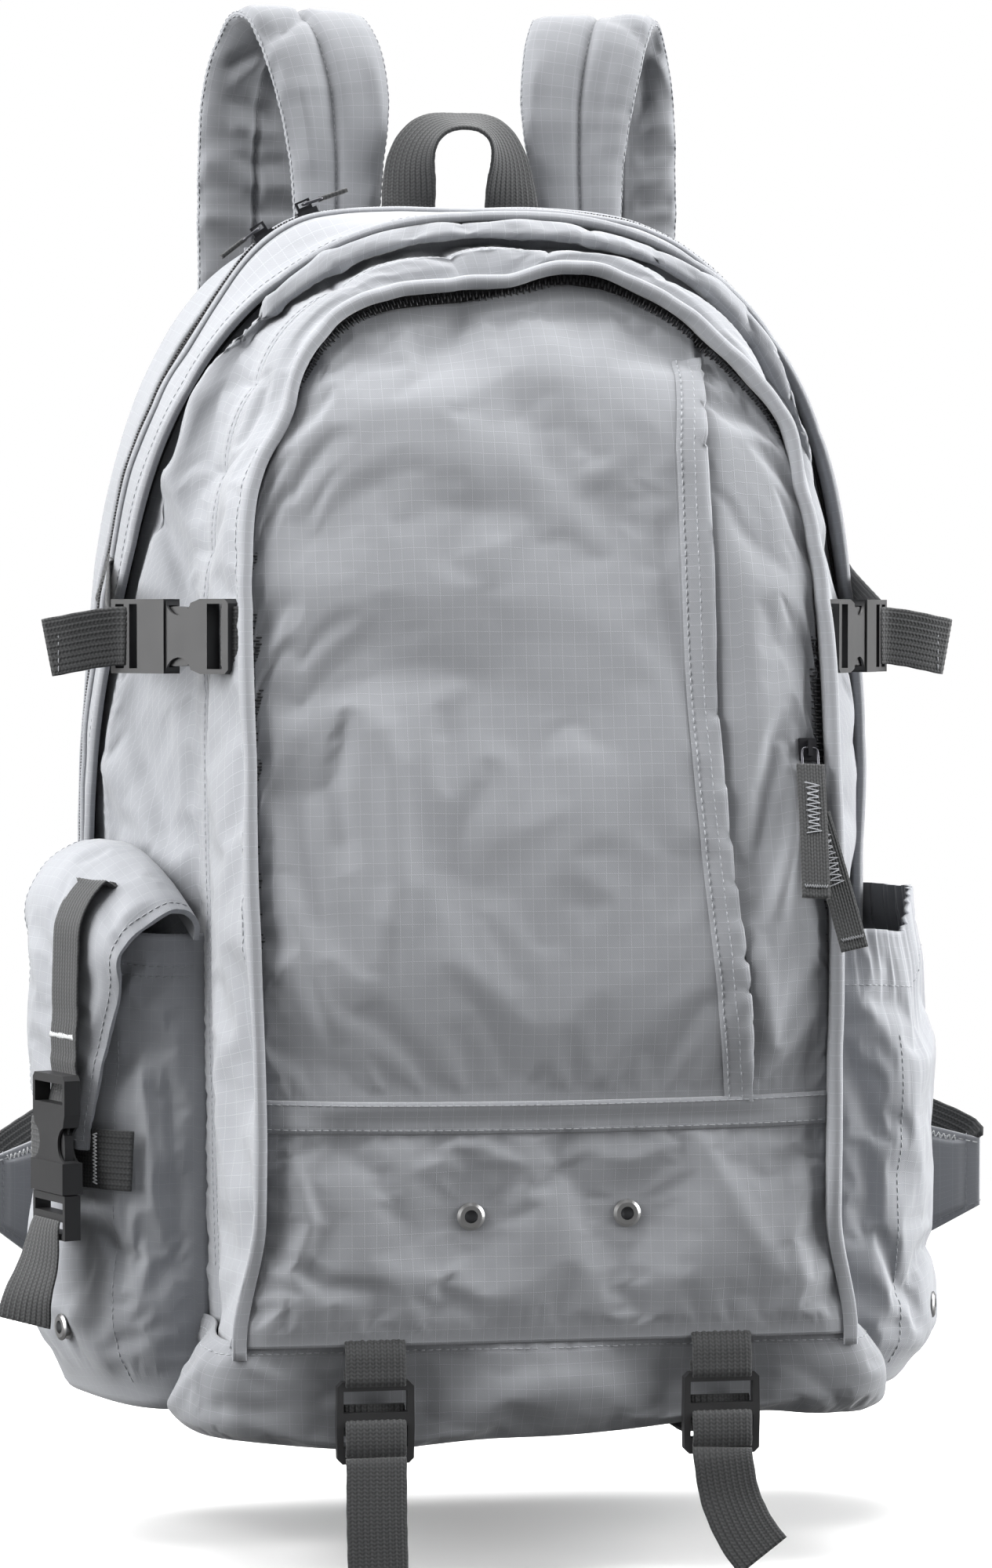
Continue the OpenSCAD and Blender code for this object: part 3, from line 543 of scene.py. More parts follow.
M_THREAD = thread_mat("thread_grey", (0.30, 0.31, 0.33))
M_THREAD_D = thread_mat("thread_dark", (0.16, 0.165, 0.175))
M_WHITE = thread_mat("thread_pale", (0.66, 0.67, 0.68))
# painted shade: a dark copy of the ripstop, put inside the pockets and behind the eyelet holes where the inside of the
# bag is in shade
M_PAINTED_SHADE_CLOTH = ripstop("painted_shade_cloth", (0.10, 0.103, 0.11), contrast=0.05)
M_MESH = mesh_mat("spacer_mesh", (0.20, 0.205, 0.215))


def done(ob, body, *nodes):
    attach(ob, body)
    if nodes:
        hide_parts(*nodes)
    return ob


# ------------------------------------------------------------------ arches (right leg, over the top, left leg)
NT_ = 440
LAM = 0.19
TT = np.linspace(0, 1, NT_)


def arch(W, H, zs, n, B, Wb, T=TT):
    a = np.linspace(0, math.pi, 1441)
    ax, az = W * spow(np.cos(a), 2 / n), zs + (H - zs) * np.abs(np.sin(a)) ** (2 / n)
    L = np.r_[0, np.cumsum(np.hypot(np.diff(ax), np.diff(az)))]
    L /= L[-1]
    s = np.clip((T - LAM) / (1 - 2 * LAM), 0, 1)
    x, z = np.interp(s, L, ax), np.interp(s, L, az)
    for side in (1, -1):
        t = T / LAM if side > 0 else (1 - T) / LAM
        m = t < 1
        tt = t[m]
        x[m] = side * (Wb + (W - Wb) * np.sin(np.pi / 2 * tt))
        z[m] = B + (zs - B) * tt
    return x, z


def y_mid(z):
    return 66 - 66 * np.clip((z - 228) / 272, 0, 1) ** 1.1


def y_fr(z):
    return -38 + 14 * (z - 42) / 442


def y_fz(z):
    return -107 + 65 * np.clip((z - 150) / 324, 0, 1) ** 1.7


BASE = 42.0
BOT = 36.0


def curve(kind, d=0.0, dy=0.0):
    """A named arch as (n, 3): d mm outward, dy mm along Y. Kinds R rear, A middle flap, B front seam, C front zip."""
    if kind == "R":
        x, z = arch(169, 511, 232, 3.0, BOT, 161)
        y = np.zeros(NT_)
    elif kind == "A":
        x, z = arch(169, 500, 230, 2.5, BOT, 161)
        y = y_mid(z)
        x = x - np.tanh(x / 30) * 3.5 * np.exp(-((z - 350) / 55) ** 2)
    elif kind == "B":
        x, z = arch(128, 484, 300, 2.85, BOT, 124)
        y = y_fr(z)
    else:
        x, z = arch(118, 471, 328, 2.6, BOT, 118)
        y = y_fz(z)
        x = x - 3.5 * sm(z, 300, 400) * sm(x, 10, 70) - np.sign(x) * 2.2 * sm(-z, -230, -130)
    P = np.stack([x, y, z], -1)
    t = np.gradient(P, axis=0)
    q = np.stack([t[:, 2], np.zeros(NT_), -t[:, 0]], -1)
    q[(TT < LAM)] = [1, 0, 0]
    q[(TT > 1 - LAM)] = [-1, 0, 0]
    q = unit(q)
    k = np.ones(9) / 9
    qs = np.stack([np.convolve(np.pad(q[:, c], 4, mode="edge"), k, mode="valid") for c in range(3)], -1)
    q = unit(qs)
    if np.ndim(d) or d:
        P = P + q * np.asarray(d, float).reshape(-1, 1) if np.ndim(d) else P + q * d
    P[:, 1] += dy
    return P


def scallop(seed, n=17, sharp=2.2):
    """Uneven scallops along the arch, 0 at the dips and 1 between them."""
    r = np.random.default_rng(seed)
    e = np.cumsum(0.6 + 0.8 * r.random(n + 2))
    e = (e - e[0]) / (e[-1] - e[0])
    h = 0.55 + 0.45 * r.random(n + 2)
    i = np.clip(np.searchsorted(e, TT) - 1, 0, n)
    f = (TT - e[i]) / (e[i + 1] - e[i])
    return np.abs(np.sin(np.pi * f)) ** (1 / sharp) * h[i], e


top_w = lambda z: sm(z, 180, 420)


# ------------------------------------------------------------------ cloth relaxation
def relax(ob, pin, frames=14, shrink=-0.012, pressure=0.35, cap=7.0, stiff=9.0):
    """Lets a sheet settle as cloth: its border is pinned, it has a little spare length and the load inside pushes it out."""
    n = len(ob.data.vertices)
    rest = np.empty(n * 3)
    ob.data.vertices.foreach_get("co", rest)
    rest = rest.reshape(-1, 3)
    vg = ob.vertex_groups.new(name="pin")
    pin = np.asarray(pin, float).ravel()
    for lev in np.unique(np.round(pin, 1)):
        if lev > 0:
            vg.add(np.nonzero(np.round(pin, 1) == lev)[0].tolist(), float(lev), "REPLACE")
    m = ob.modifiers.new("cloth", "CLOTH")
    c = m.settings
    c.quality = 5
    c.mass = 0.3
    c.tension_stiffness = c.compression_stiffness = 22
    c.shear_stiffness = 12
    c.bending_stiffness = stiff
    c.tension_damping = c.compression_damping = c.shear_damping = 12
    c.bending_damping = 2
    c.air_damping = 4
    c.vertex_group_mass = "pin"
    c.pin_stiffness = 1
    c.shrink_min = shrink
    c.use_pressure = pressure != 0
    c.uniform_pressure_force = pressure
    c.effector_weights.gravity = 0
    m.collision_settings.use_collision = False
    m.point_cache.frame_start, m.point_cache.frame_end = 1, frames
    sc = bpy.context.scene
    for f in range(1, frames + 1):
        sc.frame_set(f)
    dg = bpy.context.evaluated_depsgraph_get()
    ev = ob.evaluated_get(dg).to_mesh()
    out = np.empty(n * 3)
    ev.vertices.foreach_get("co", out)
    ob.evaluated_get(dg).to_mesh_clear()
    ob.modifiers.remove(m)
    ob.vertex_groups.remove(vg)
    sc.frame_set(1)
    out = out.reshape(-1, 3)
    d = out - rest
    L = np.linalg.norm(d, axis=1, keepdims=True)
    lim = cap * 0.001
    d = d / (L + 1e-12) * (lim * np.tanh(L / lim))
    ob.data.vertices.foreach_set("co", (rest + d).ravel())
    ob.data.update()


def read_grid(ob, m, n):
    v = np.empty(len(ob.data.vertices) * 3)
    ob.data.vertices.foreach_get("co", v)
    return v.reshape(-1, 3)[:m * n].reshape(m, n, 3) * 1000


def border_pin(m, n, r=(2, 2), c=(2, 2), soft=4):
    """1 on the border rows and columns, falling to 0 over a few more."""
    i, j = np.meshgrid(np.arange(m), np.arange(n), indexing="ij")
    d = np.full((m, n), 99.0)
    for a, k in ((i - r[0], r[0]), (m - 1 - i - r[1], r[1])):
        if k:
            d = np.minimum(d, np.maximum(a + 1, 0))
    for a, k in ((j - c[0], c[0]), (n - 1 - j - c[1], c[1])):
        if k:
            d = np.minimum(d, np.maximum(a + 1, 0))
    return np.clip(1 - d / soft, 0, 1) ** 1.0


# ------------------------------------------------------------------ shells
def mixc(a, b, s):
    return a * (1 - s) + b * s


N_UP = np.array([0, 0, 1.0])
G = {}


def shell(name, rows, counts, nodes, marks=(), mat=None, amp=0.8, noise_size=(46, 46, 60), pin=None, sim=None, seed=1, keep_rows=(0, 0), cols=NT_, spaced=None):
    """A cloth shell lofted over arch rows. counts gives how many mesh rows lie between each pair of rows."""
    s = np.concatenate([np.linspace(i, i + 1, c, endpoint=False) for i, c in enumerate(counts)] + [[len(counts)]])
    P = cat(rows, s)
    m, n, _ = P.shape
    N = -grid_normals(P)
    if np.mean(N[:, n // 2, 2]) < 0:
        N = -N
    edge = np.ones(m)
    a, b = keep_rows
    if a:
        edge *= sm(np.arange(m), a * 0.5, a * 2.0)
    if b:
        edge *= sm(m - 1 - np.arange(m), b * 0.5, b * 2.0)
    if amp:
        f = fbm(P, noise_size, seed, 3, 0.55)
        P = P + N * (f * amp * edge[:, None])[..., None]
    if marks:
        Q = creases(P, N, marks)
        P = P + (Q - P) * edge[:, None, None]
    return P, N


def rows_mesh(name, P, mat, body="pack", nodes=(), thick=1.0, flip=None, sim=None, pin=None):
    m, n, _ = P.shape
    N = grid_normals(P)
    out = P - np.array([0, 20.0, 230.0])
    fl = np.mean(np.sum(N * out, -1)) > 0
    uv = grid_uv(P).reshape(m, n, 2)
    if sim:
        ob = sheet(name + "_s", P, mat, uv, 0, flip=not fl)
        relax(ob, pin, **sim)
        P = read_grid(ob, m, n)
        bpy.data.objects.remove(ob)
    ob = sheet(name, P, mat, uv, thick, flip=not fl)
    ob.data.update()
    done(ob, body, *nodes)
    return ob, P, grid_normals(P) * (1 if fl else -1)


R = lambda d, dy: curve("R", d, dy)
A = lambda d, dy: curve("A", d, dy)
B = lambda d, dy: curve("B", d, dy)
C = lambda d, dy: curve("C", d, dy)

# scallops: between stitches the cloth stands proud, at them it is pulled in
sB, eB = scallop(11, 17)
sA, eA = scallop(5, 15)
sC, eC = scallop(23, 23)
zA = A(0, 0)[:, 2]
onTop = sm(zA, 170, 330)

# rear gusset with flap A at its front edge
base0 = R(0, 0)
r0 = R(0.5, 78)
a0 = A(3.0, -7)
waveA = (sA - 0.5) * 1.3 * onTop
rows = [R(-7, 101), R(-2.5, 98.5), R(0.3, 92), R(0.8, 84), mixc(r0, a0, 0.22), mixc(r0, a0, 0.5), mixc(r0, a0, 0.8),
        A(2.6 + 0.5 * waveA, -4), A(3.6 + 0.8 * waveA, -7.5), A(3.3 + 0.8 * waveA, -10), A(1.4 + 0.6 * waveA, -11.2), A(-0.4 + 0.4 * waveA, -9.6), A(-0.6, -5), A(-0.4, 3)]
trk = np.exp(-((np.degrees(np.arctan2(base0[:, 2] - 381.3, -(base0[:, 0] + 21.7))) - 62) / 13) ** 2)[:, None]
r44 = R(1.6, 44)
rows[4] = rows[4] * (1 - trk) + R(1.6, 62) * trk
rows[5] = rows[5] * (1 - trk) + (r44 + [0, -4, 0]) * trk
P, N = shell("rear", rows, [2, 3, 3, 4, 9, 10, 5, 5, 3, 3, 3, 3, 2], (), amp=1.5, seed=3, keep_rows=(4, 16), noise_size=(60, 42, 54), marks=[
    ([(300, 400), (240, 500), (190, 640), (150, 800)], 7, -0.9), ([(330, 330), (420, 300), (520, 285)], 5, -0.8), ([(960, 380), (1030, 470), (1075, 600)], 6, -0.9)])
ob, PG, NG = rows_mesh("rear_gusset_cloth", P, M_CLOTH, nodes=("rear_gusset", "middle_flap_welt"), thick=1.1)
G["rear"] = (PG, NG)
iA = 2 + 3 + 3 + 4 + 9 + 10
T0, T1 = int(NT_ * 0.02), int(NT_ * 0.98)
cc = np.arange(T0, T1, 1.0)
for off in (3.2, 0.8):
    rr = iA + 5 - off
    stitch_line(("thread", "pack"), sample(PG, rr, cc), sample(NG, rr, cc))

# middle shell under flap A, ending in the pulled-in seam B
dA_ = 2.6 * (1 - sm(zA, 290, 400))
m0, m1 = A(-6.5 + dA_, -16), B(4.0, 22)
pull = (sB - 0.72) * 5.2 * (0.10 + 0.90 * sm(B(0, 0)[:, 2], 260, 430))
dB_ = -2.2 + 2.6 * (1 - sm(B(0, 0)[:, 2], 190, 250))
rows = [A(-1.5, 3), A(-4.5 + 0.6 * dA_, -3), A(-6.5 + dA_, -9), m0, mixc(m0, m1, 0.34), mixc(m0, m1, 0.68), m1, B(3.2 + pull, 12), B(2.4 + 1.2 * pull, 5), B(0.6 + 0.8 * pull, 1.6), B(dB_, -0.2)]
q = unit(A(1, 0) - A(0, 0))
for k, w in ((4, 5.0), (5, 5.5), (6, 2.0)):
    rows[k] = rows[k] + q * w
P, N = shell("middle", rows, [2, 3, 3, 9, 9, 8, 5, 4, 3, 3], (), amp=2.4, seed=9, keep_rows=(4, 9), noise_size=(44, 50, 70), marks=[
    ([(213, 590), (250, 680), (280, 760)], 13, 3.0), ([(190, 640), (225, 720), (262, 800)], 11, -2.6), ([(332, 588), (296, 625), (277, 668), (289, 757)], 7, 3.2), ([(318, 600), (300, 660), (303, 740)], 8, -3.2),
    ([(262, 480), (240, 560), (205, 640)], 10, 1.8), ([(325, 365), (352, 395), (385, 420)], 12, -1.8), ([(395, 318), (440, 345), (490, 362)], 12, -1.7), ([(296, 415), (322, 450), (345, 480)], 10, -1.6),
    ([(735, 305), (790, 322), (835, 335)], 7, -2.6), ([(890, 352), (935, 400), (950, 440)], 8, -2.4), ([(965, 440), (1010, 520), (1030, 640)], 9, -2.2), ([(1045, 560), (1060, 700)], 8, 2.0),
    ([(150, 900), (190, 1010), (215, 1100)], 12, -2.2), ([(215, 860), (240, 960), (245, 1080)], 14, 2.0), ([(130, 960), (160, 1050)], 9, 1.6)])
m, n, _ = P.shape
pin = border_pin(m, n, (6, 8), (4, 4), 5)
ob, PM, NM = rows_mesh("middle_shell_cloth", P, M_CLOTH, nodes=("middle_shell", "middle_zip", "middle_slider"), thick=1.0, sim=dict(frames=12, shrink=-0.016, pressure=0.30, cap=5), pin=pin)
G["middle"] = (PM, NM)
iB = m - 1
for off in (5.0,):
    stitch_line(("thread", "pack"), sample(PM, iB - off, cc), sample(NM, iB - off, cc), lift=0.0)

# front gusset: from seam B to flap C, with the rolled piping of the front pocket at its edge
def fit_arch(base, line, centre, inset, z0, z1, lim=9.0):
    """Outward offsets that carry an arch's projection onto a given line, faded in above z0..z1."""
    ln = np.array(line, float)
    la = np.arctan2(centre[1] - ln[:, 1], ln[:, 0] - centre[0])
    lr = np.hypot(ln[:, 0] - centre[0], ln[:, 1] - centre[1]) - inset
    o = np.argsort(la)
    X_, Y_ = view_xy(base)
    an = np.arctan2(centre[1] - Y_, X_ - centre[0])
    r_ = np.hypot(X_ - centre[0], Y_ - centre[1])
    off = np.clip((np.interp(an, la[o], lr[o]) - r_) / 3.1, -lim, lim)
    return smooth1(off * sm(base[:, 2], z0, z1), 5)


def smooth1(v, k):
    return np.convolve(np.pad(v, k, mode="edge"), np.hanning(2 * k + 3)[1:-1] / np.sum(np.hanning(2 * k + 3)), mode="valid")


lineC = [(352, 620), (366, 551), (377, 480), (398, 438), (425, 407), (462, 385), (500, 371), (545, 366), (591, 360), (630, 360), (666, 354), (700, 343), (725, 339), (755, 340), (784, 347), (820, 366), (859, 385), (885, 404), (907, 428), (940, 455), (966, 487), (998, 520), (1020, 551), (1040, 620)]
fitC = fit_arch(C(1.2, -8.6), lineC, (690, 620), 3, 385, 425)
C0 = C
C = lambda d, dy: curve("C", np.asarray(d, float) * np.ones(NT_) + fitC, dy)
waveC = (smooth1(sC, 3) - 0.5) * (0.5 + 0.7 * sm(C0(0, 0)[:, 2], 330, 470))
flare = lambda P, k=8.0: P + np.sign(P[:, :1]) * np.array([[1.0, 0, 0]]) * (k * sm(-P[:, 2], -92, -40))[:, None]
b1, c1 = B(1.4 + 0.8 * pull, -8), flare(C(4.4, 5))
kz = 0.22 + 0.78 * sm(C0(0, 0)[:, 2], 58, 112)
rows = [B(dB_, -0.2), B(0.2 + 0.7 * pull, -2.2), B(1.2 + 1.0 * pull, -5), b1, mixc(b1, c1, 0.33), mixc(b1, c1, 0.7), c1, flare(C(4.2 + 1.2 * waveC, -2 * kz)), flare(C(4.9 + 1.6 * waveC, -5.6 * kz)), flare(C(3.8 + 1.8 * waveC, -8.4 * kz)),
        flare(C(1.2 + 1.8 * waveC, -8.9 * kz)), flare(C(-0.8 + 1.5 * waveC, -7.0 * kz)), flare(C(-0.9 + waveC, -3.4 * kz)), flare(C(-0.4, 2))]
for k, w in ((4, 2.2), (5, 2.2)):
    rows[k] = rows[k] + q * w
P, N = shell("front", rows, [2, 3, 3, 7, 8, 7, 5, 3, 3, 3, 3, 2, 2], (), amp=1.5, seed=15, keep_rows=(8, 12), noise_size=(34, 40, 60), marks=[
    ([(345, 470), (330, 520), (300, 585)], 6, -1.8), ([(300, 620), (292, 760), (300, 900)], 8, 1.6), ([(312, 900), (306, 1000), (300, 1090)], 7, -1.6),
    ([(300, 1200), (318, 1330), (322, 1450)], 10, -2.4), ([(275, 1240), (285, 1420), (300, 1600)], 9, 2.2), ([(340, 1560), (322, 1640), (300, 1700)], 7, 2.0), ([(330, 1500), (300, 1620), (268, 1700)], 9, -2.4)])
m, n, _ = P.shape
pin = border_pin(m, n, (8, 14), (4, 4), 5)
ob, PF, NF = rows_mesh("front_gusset_cloth", P, M_CLOTH, nodes=("front_gusset", "front_flap_welt"), thick=1.0, sim=dict(frames=10, shrink=-0.014, pressure=0.2, cap=4), pin=pin)
G["front"] = (PF, NF)
iC = 2 + 3 + 3 + 7 + 8 + 7 + 5
ccC = np.arange(int(NT_ * 0.07), int(NT_ * 0.93), 1.0)
stitch_line(("thread", "pack"), sample(PF, iC - 1.5, ccC), sample(NF, iC - 1.5, ccC))
stitch_line(("thread", "pack"), sample(PF, 6.2, cc), sample(NF, 6.2, cc))


# ------------------------------------------------------------------ zips
def coil(name, P, U, Bn, mat, body, nodes=(), pitch=1.35, half=2.1, r=0.42):
    """Interlocking coil teeth along a path: U across, Bn out."""
    D = np.r_[0, np.cumsum(np.linalg.norm(np.diff(P, axis=0), axis=1))]
    q = np.arange(0, D[-1], pitch)
    at = lambda Z: np.stack([np.interp(q, D, Z[:, k]) for k in range(3)], -1)
    c, u, b = at(P), unit(at(U)), unit(at(Bn))
    t = np.cross(u, b)
    bag = Bag()
    k = len(q)
    a = np.arange(6) / 6 * TAU
    side = np.where(np.arange(k) % 2, 1.0, -1.0)
    xs = np.array([-0.35, 0.0, 0.75, 1.0])
    rr = np.array([0.7, 1.1, 1.0, 0.6]) * r
    V = (c[:, None, None] + u[:, None, None] * (side[:, None] * xs * half)[:, :, None, None]
         + b[:, None, None] * (rr[:, None] * np.cos(a) * 1.2 + 0.3)[None, :, :, None] + t[:, None, None] * (rr[:, None] * np.sin(a))[None, :, :, None])
    F = np.concatenate([grid_faces(4, 6, True) + 24 * i for i in range(k)])
    caps = np.concatenate([np.array([[5, 4, 3, 2, 1, 0], [18, 19, 20, 21, 22, 23]]) + 24 * i for i in range(k)])
    ob = mesh(name, V.reshape(-1, 3), F.tolist() + caps.tolist(), None, mat)
    done(ob, body, *nodes)
    return ob


def tape(name, e0, e1, mat, body="pack", nodes=(), thick=0.7, n=6):
    rows = np.stack([e0 * (1 - s) + e1 * s for s in np.linspace(0, 1, n)])
    N = grid_normals(rows)
    fl = np.mean(N[..., 1]) < 0
    ob = sheet(name, rows, mat, None, thick, flip=not fl)
    done(ob, body, *nodes)
    return ob


sel = slice(int(NT_ * 0.1), int(NT_ * 0.9))
# front zip, recessed beneath flap C
e0, e1 = C(0.2, 1.6), C(-7.0, 0.2)
e0, e1 = flare(e0), flare(e1)
tape("front_zip_tape", e0[sel], e1[sel], M_BLACK, nodes=("front_zip",))
mid = C(-3.2, -0.2)[sel]
coil("front_zip_coil", mid, unit(e1 - e0)[sel], np.broadcast_to([0, -1.0, 0], mid.shape), M_COIL, "pack")
# middle recess
tape("middle_zip_tape", A(-0.8, 2.5)[sel], A(-6.6, -1.0)[sel], M_BLACK)


# main zip over the shoulders, behind flap A
def zip_yy(z):
    return 44 + 39 * np.clip((430 - z) / 210, 0, 1)


def on_rear(yv, lift, cols):
    """Points on the rear gusset where it crosses y = yv (per column)."""
    out, nn = [], []
    for c, y_ in zip(cols, yv):
        col, ncol = PG[:iA - 4, c], NG[:iA - 4, c]
        k = int(np.argmin(np.abs(col[:, 1] - y_)))
        k = min(max(k, 1), len(col) - 2)
        k2 = k + 1 if col[k, 1] > y_ else k - 1
        f = (y_ - col[k, 1]) / (col[k2, 1] - col[k, 1] + 1e-9)
        f = min(max(f, 0), 1)
        out.append(col[k] * (1 - f) + col[k2] * f)
        nn.append(ncol[k] * (1 - f) + ncol[k2] * f)
    nn = unit(np.array(nn))
    return np.array(out) + nn * lift, nn


lim = np.nonzero(base0[:, 2] > 215)[0]
yy = zip_yy(base0[lim, 2])
z0, _ = on_rear(yy - 4.2, 0.7, lim)
z1, _ = on_rear(yy + 4.2, 0.7, lim)
tape("main_zip_tape", z0, z1, M_BLACK, nodes=("main_zip",), thick=0.9)
mzc, qn = on_rear(yy, 1.2, lim)
coil("main_zip_coil", mzc, np.broadcast_to([0, 1.0, 0], mzc.shape), qn, M_COIL, "pack")
# cloth piping each side of the zip
for sg in (-1, 1):
    pp, nn_ = on_rear(yy + sg * 5.2, 0.5, lim)
    T, U, Bv = frames_from(pp, nn_)
    V, F, uv = sweep_data(pp, U, Bv, ring(1.5, 10, 2.2))
    ob = mesh("main_zip_piping_%d" % (sg + 1), V, F, uv, M_CLOTH)
    done(ob, "pack")


# ------------------------------------------------------------------ front panel, placket, band, lower panel
W_P, H_P, ZS = 117.4, 468.0, 326.0
lineP = [(372, 540), (385, 490), (412, 440), (450, 412), (500, 398), (545, 392), (586, 389), (640, 377), (690, 364), (725, 359), (765, 364), (805, 381), (860, 409), (900, 440), (950, 492), (1000, 552)]


def ztop(x):
    z = ZS + (H_P - ZS) * np.clip(1 - np.abs(x / W_P) ** 2.6, 0, 1) ** (1 / 2.6)
    w = sm(-np.abs(x), -108, -86)
    z2 = z + 0.0
    for _ in range(3):
        X_, Y_ = view_xy(np.stack([x, y_fz(z2), z2], -1))
        z2 = z2 + (Y_ - np.interp(X_, [p[0] for p in lineP], [p[1] for p in lineP])) / 3.0
    return z * (1 - w) + (z2 + 1.0) * w


def px(z):
    return 63 + 14 * np.clip((300 - z) / 160, 0, 1) ** 1.4 + 4 * np.clip((z - 400) / 40, 0, 1)


def panel_y(x, z):
    d = np.minimum(W_P - np.abs(x), ztop(x) - z)
    leg = 1 - sm(z, 380, 440)
    crown = 8.6 * sm(d, -6, 46) + 2.2 * sm(d, 0, 9) + 2.4 * leg * sm(d, -1.5, 3.5)
    y = y_fz(z) + 1.5 - crown * (0.55 + 0.45 * sm(z, 130, 200))
    y = y + 2.2 * np.exp(-((x + 30) / 16) ** 2 - ((z - 452) / 16) ** 2)
    e = x - (px(z) + 5)
    y = y + 2.4 * np.exp(-(np.clip(e, 0, None) / 6.0) ** 2) * (e > 0) * sm(z, 138, 165)
    y = y - 3.0 * np.exp(-((e - 22) / 13) ** 2) * sm(z, 150, 230) * sm(-z, -400, -300)
    return y


nu, nv = 190, 200
u = np.sin(np.linspace(-1, 1, nu) * math.pi / 2 * 0.995) / math.sin(math.pi / 2 * 0.995)
X = u * W_P
vv = np.linspace(0, 1, nv)
zt = ztop(X)
Z = 134 + (zt - 134) * vv[:, None]
XX = np.broadcast_to(X, Z.shape)
P = np.stack([XX, panel_y(XX, Z), Z], -1)
N = grid_normals(P)
N *= np.sign(-np.mean(N[..., 1]))
d = np.minimum(W_P - np.abs(XX), zt - Z)
P[..., 0] -= 2.6 * np.exp(-((Z - 292) / 36) ** 2) * sm(XX, 104, 117)
P = P + N * (fbm(P, (60, 60, 85), 31, 3, 0.5) * 2.1 * sm(d, 0, 26) * sm(Z, 134, 160))[..., None]
P = creases(P, N, [
    ([(470, 860), (500, 980), (512, 1130), (480, 1250)], 24, 3.2), ([(440, 900), (425, 1010), (450, 1120)], 20, -2.8), ([(560, 880), (590, 1020), (570, 1180)], 26, -2.2),
    ([(640, 480), (720, 600), (860, 730)], 36, -3.4), ([(700, 400), (700, 520), (760, 640)], 30, 2.4), ([(600, 400), (570, 440), (520, 460)], 20, -2.2), ([(420, 470), (400, 560), (410, 700)], 22, 1.8), ([(560, 470), (600, 620), (640, 760)], 30, 2.2), ([(990, 560), (985, 700), (1000, 830)], 16, 2.2), ([(1000, 900), (975, 1010), (960, 1120)], 13, -2.6),
    ([(1018, 960), (1005, 1080), (985, 1180)], 12, 2.4), ([(955, 1180), (975, 1280), (1000, 1370)], 14, 1.8), ([(372, 960), (392, 1090), (420, 1230)], 19, -1.8), ([(360, 1110), (400, 1240), (430, 1340)], 17, 1.8),
    ([(720, 900), (745, 1060), (740, 1240)], 34, 2.0), ([(845, 620), (850, 760), (872, 900)], 16, -1.4)])
uv = np.stack([XX, np.cumsum(np.r_[np.zeros((1, nu)), np.linalg.norm(np.diff(P, axis=0), axis=2)], 0)], -1)
ob = sheet("front_panel_s", P, M_PANEL, uv, 0, flip=False)
pin = border_pin(nv, nu, (3, 3), (3, 3), 5)
relax(ob, pin, frames=14, shrink=-0.012, pressure=0.16, cap=5, stiff=14)
P = read_grid(ob, nv, nu)
bpy.data.objects.remove(ob)
PP = P
N = grid_normals(P)
fl = np.mean(N[..., 1]) < 0
NP = N * (1 if fl else -1)
ob = sheet("front_panel_cloth", P, M_PANEL, uv, 1.0, flip=not fl)
done(ob, "pack", "front_panel")


def on_panel(x, z, lift=0.0):
    """Points on the settled front panel at x, z (mm)."""
    x, z = np.asarray(x, float), np.asarray(z, float)
    c = np.interp(x, X, np.arange(nu))
    zz = np.interp(x, X, zt)
    r = np.clip((z - 134) / (zz - 134), 0, 1) * (nv - 1)
    p, nn = sample(PP, r, c), unit(sample(NP, r, c))
    return p + nn * lift, nn


zz = np.arange(137, 442, 2.5)
rows = []
prof = [(-5.6, 0.25), (-4.6, 0.9), (-2, 1.15), (1.0, 1.35), (3.4, 1.9), (4.8, 2.7), (5.5, 2.9), (5.8, 2.2), (5.2, 1.4), (3.0, 0.8)]
wob = 0.5 * fbm(np.stack([zz * 0, zz * 0, zz], -1), 30, 4)
for dx, lf in prof:
    p, nn = on_panel(px(zz) + dx + wob * (dx > 3), zz, 0.0)
    rows.append(p + nn * lf)
pl = np.stack(rows)
N = grid_normals(pl)
fl = np.mean(N[:5, :, 1]) < 0
ob = sheet("placket_cloth", pl, M_PANEL, None, 0, flip=not fl)
done(ob, "pack", "placket")
p, nn = on_panel(px(zz) - 3.8, zz, 1.1)
stitch_line(("thread", "pack"), p, nn)
stitch_line(("thread", "pack"), on_panel(px(zz) + 1.6, zz, 1.35)[0], nn, lift=0.0)


def low_w(z):
    return 117.0 + 8.0 * sm(-z, -92, -40) + 4.0 * sm(-z, -58, -40)


def low_y(x, z):
    w = low_w(z)
    d = (w - np.abs(x))
    return -105.5 - 1.8 * sm(d, -1, 4) - 3.2 * sm(d, 0, 15) - 3.2 * np.sin(np.pi * np.clip((z - 42) / 88, 0, 1)) * sm(d, 2, 50) + 1.0 * sm(-z, -52, -40)


nu2, nv2 = 170, 66
u2 = np.sin(np.linspace(-1, 1, nu2) * math.pi / 2 * 0.99) / math.sin(math.pi / 2 * 0.99)
z2 = np.linspace(133, 40.5, nv2)
Z2 = np.broadcast_to(z2[:, None], (nv2, nu2)).copy()
X2 = u2[None] * low_w(z2)[:, None]
Y2 = low_y(X2, Z2)
P = np.stack([X2, Y2, Z2], -1)
N = grid_normals(P)
N *= np.sign(-np.mean(N[..., 1]))
d = np.minimum(np.minimum(low_w(Z2) - np.abs(X2), 133 - Z2), Z2 - 40.5)
P = P + N * (fbm(P, (55, 50, 36), 41, 3) * 1.5 * sm(d, 0, 22))[..., None]
P = creases(P, N, [([(372, 1470), (395, 1560), (365, 1650)], 14, 2.6), ([(352, 1600), (420, 1640), (520, 1650)], 14, -2.0), ([(1030, 1470), (1010, 1580), (1035, 1670)], 14, 2.2),
                   ([(400, 1420), (480, 1500), (560, 1640)], 22, -1.6), ([(700, 1440), (760, 1560), (830, 1690)], 26, -1.6), ([(880, 1430), (930, 1520), (1000, 1640)], 18, 1.6)])
